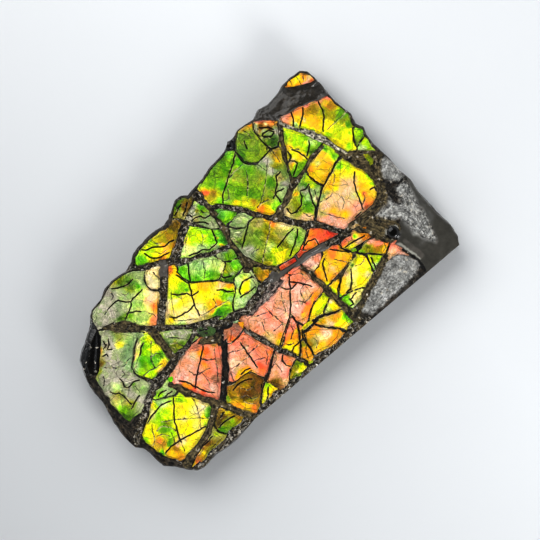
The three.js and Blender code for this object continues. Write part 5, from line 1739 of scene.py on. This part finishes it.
def build_grit(settings, material):
    """Small angular grains, half sunk in the veins and the granular rock, and the glossy knobs."""
    corners, sides = ball(1)
    dice = np.random.default_rng(90)
    ground = solid_of(bpy.data.objects["shale_slab"])
    bits = Bits()
    beds = [(read_path(text), label.split()[1]) for label, text in entries(VEINS)]
    beds = [bed for bed in beds if bed[1] in ("rough", "brown", "ash")]
    areas = [(read_path(text), kind) for kind, text in entries(BARE_ZONES)]
    areas = [area for area in areas if area[1] in ("stone", "slate", "brown", "ash")]
    for number in range(settings.grit_count):
        place, kind = grit_spot(beds, areas, number % 3 > 0, dice)
        level = 0 if place is None else ground.height([place], missing=0)[0]
        if level < SEAT:
            continue
        size = settings.grit_size * dice.uniform(0.3, 1.0)
        stretch = dice.uniform(0.5, 1.0, 3) * size / 2
        turn = Matrix.Rotation(dice.uniform(0, math.tau), 3, Vector(dice.normal(size=3)).normalized())
        shape = (corners * dice.uniform(0.8, 1.15, (len(corners), 1)) * stretch) @ np.array(turn).T
        rock = np.array(ROCKS[kind])
        shade = rock[:3] * dice.uniform(0.7, 1.5)
        # One grain in ten gets full glints, which the shale paints near white as highlights
        finish = (rock[3] * 0.7, 0.5, dice.choice((0.2, 1.0), p=(0.9, 0.1)))
        bits.add(shape + (*place, level + 0.1 * size), sides, shade, finish)
    dome, dome_sides = ball(4)
    for x, y, reach in BOSSES:
        place = placed(np.array((x, y)))
        level = ground.height([place], SEAT + 1)[0] - settings.boss_sink
        shape = dome * reach * GRID_STEP * np.array((1, 1, settings.boss_flatness)) + (*place, level)
        bits.add(shape, dome_sides, linear(BOSS_COLOUR)[:3], BOSS_LOOK)
    return bits.piece("vein_grit", material, 20)


def ball(detail):
    """The corners and sides of a round ball, 1 in radius."""
    bpy.ops.object.select_all(action="DESELECT")
    bpy.ops.mesh.primitive_ico_sphere_add(subdivisions=detail, radius=1.0, location=(0, 0, 0))
    made = bpy.context.object
    corners = np.array([vertex.co for vertex in made.data.vertices])
    sides = [list(face.vertices) for face in made.data.polygons]
    bpy.ops.object.delete()
    return corners, sides


class AMMOLITE_PT_panel(bpy.types.Panel):
    """The specimen's parts, in the order in which they are made"""

    bl_label = "Ammolite specimen"
    bl_idname = "AMMOLITE_PT_panel"
    bl_space_type = "VIEW_3D"
    bl_region_type = "UI"
    bl_category = "Ammolite"

    def draw(self, context):
        for operator in OPERATORS:
            self.layout.operator(operator.bl_idname)
        for group in (context.scene.ammolite_shell, context.scene.ammolite_slab,
                      context.scene.ammolite_colours, context.scene.ammolite_studio):
            box = self.layout.box()
            for label in group.__annotations__:
                box.prop(group, label)


OPERATORS = (AMMOLITE_OT_plates, AMMOLITE_OT_slab, AMMOLITE_OT_chips, AMMOLITE_OT_grit, AMMOLITE_OT_studio)
SETTINGS = {
    "ammolite_shell": ShellSettings, "ammolite_slab": SlabSettings,
    "ammolite_colours": ColourSettings, "ammolite_studio": StudioSettings,
}


def register():
    """Adds the settings, the operators and the panel."""
    for name, group in SETTINGS.items():
        bpy.utils.register_class(group)
        setattr(bpy.types.Scene, name, bpy.props.PointerProperty(type=group))
    for kind in (*OPERATORS, AMMOLITE_PT_panel):
        bpy.utils.register_class(kind)


def unregister():
    """Takes them away again."""
    for kind in (AMMOLITE_PT_panel, *reversed(OPERATORS)):
        bpy.utils.unregister_class(kind)
    for name, group in SETTINGS.items():
        delattr(bpy.types.Scene, name)
        bpy.utils.unregister_class(group)


def main():
    """Makes the specimen and its studio."""
    register()
    bpy.ops.ammolite.plates()
    bpy.ops.ammolite.slab()
    bpy.ops.ammolite.chips()
    bpy.ops.ammolite.grit()
    bpy.ops.ammolite.studio()


if __name__ == "__main__":
    main()
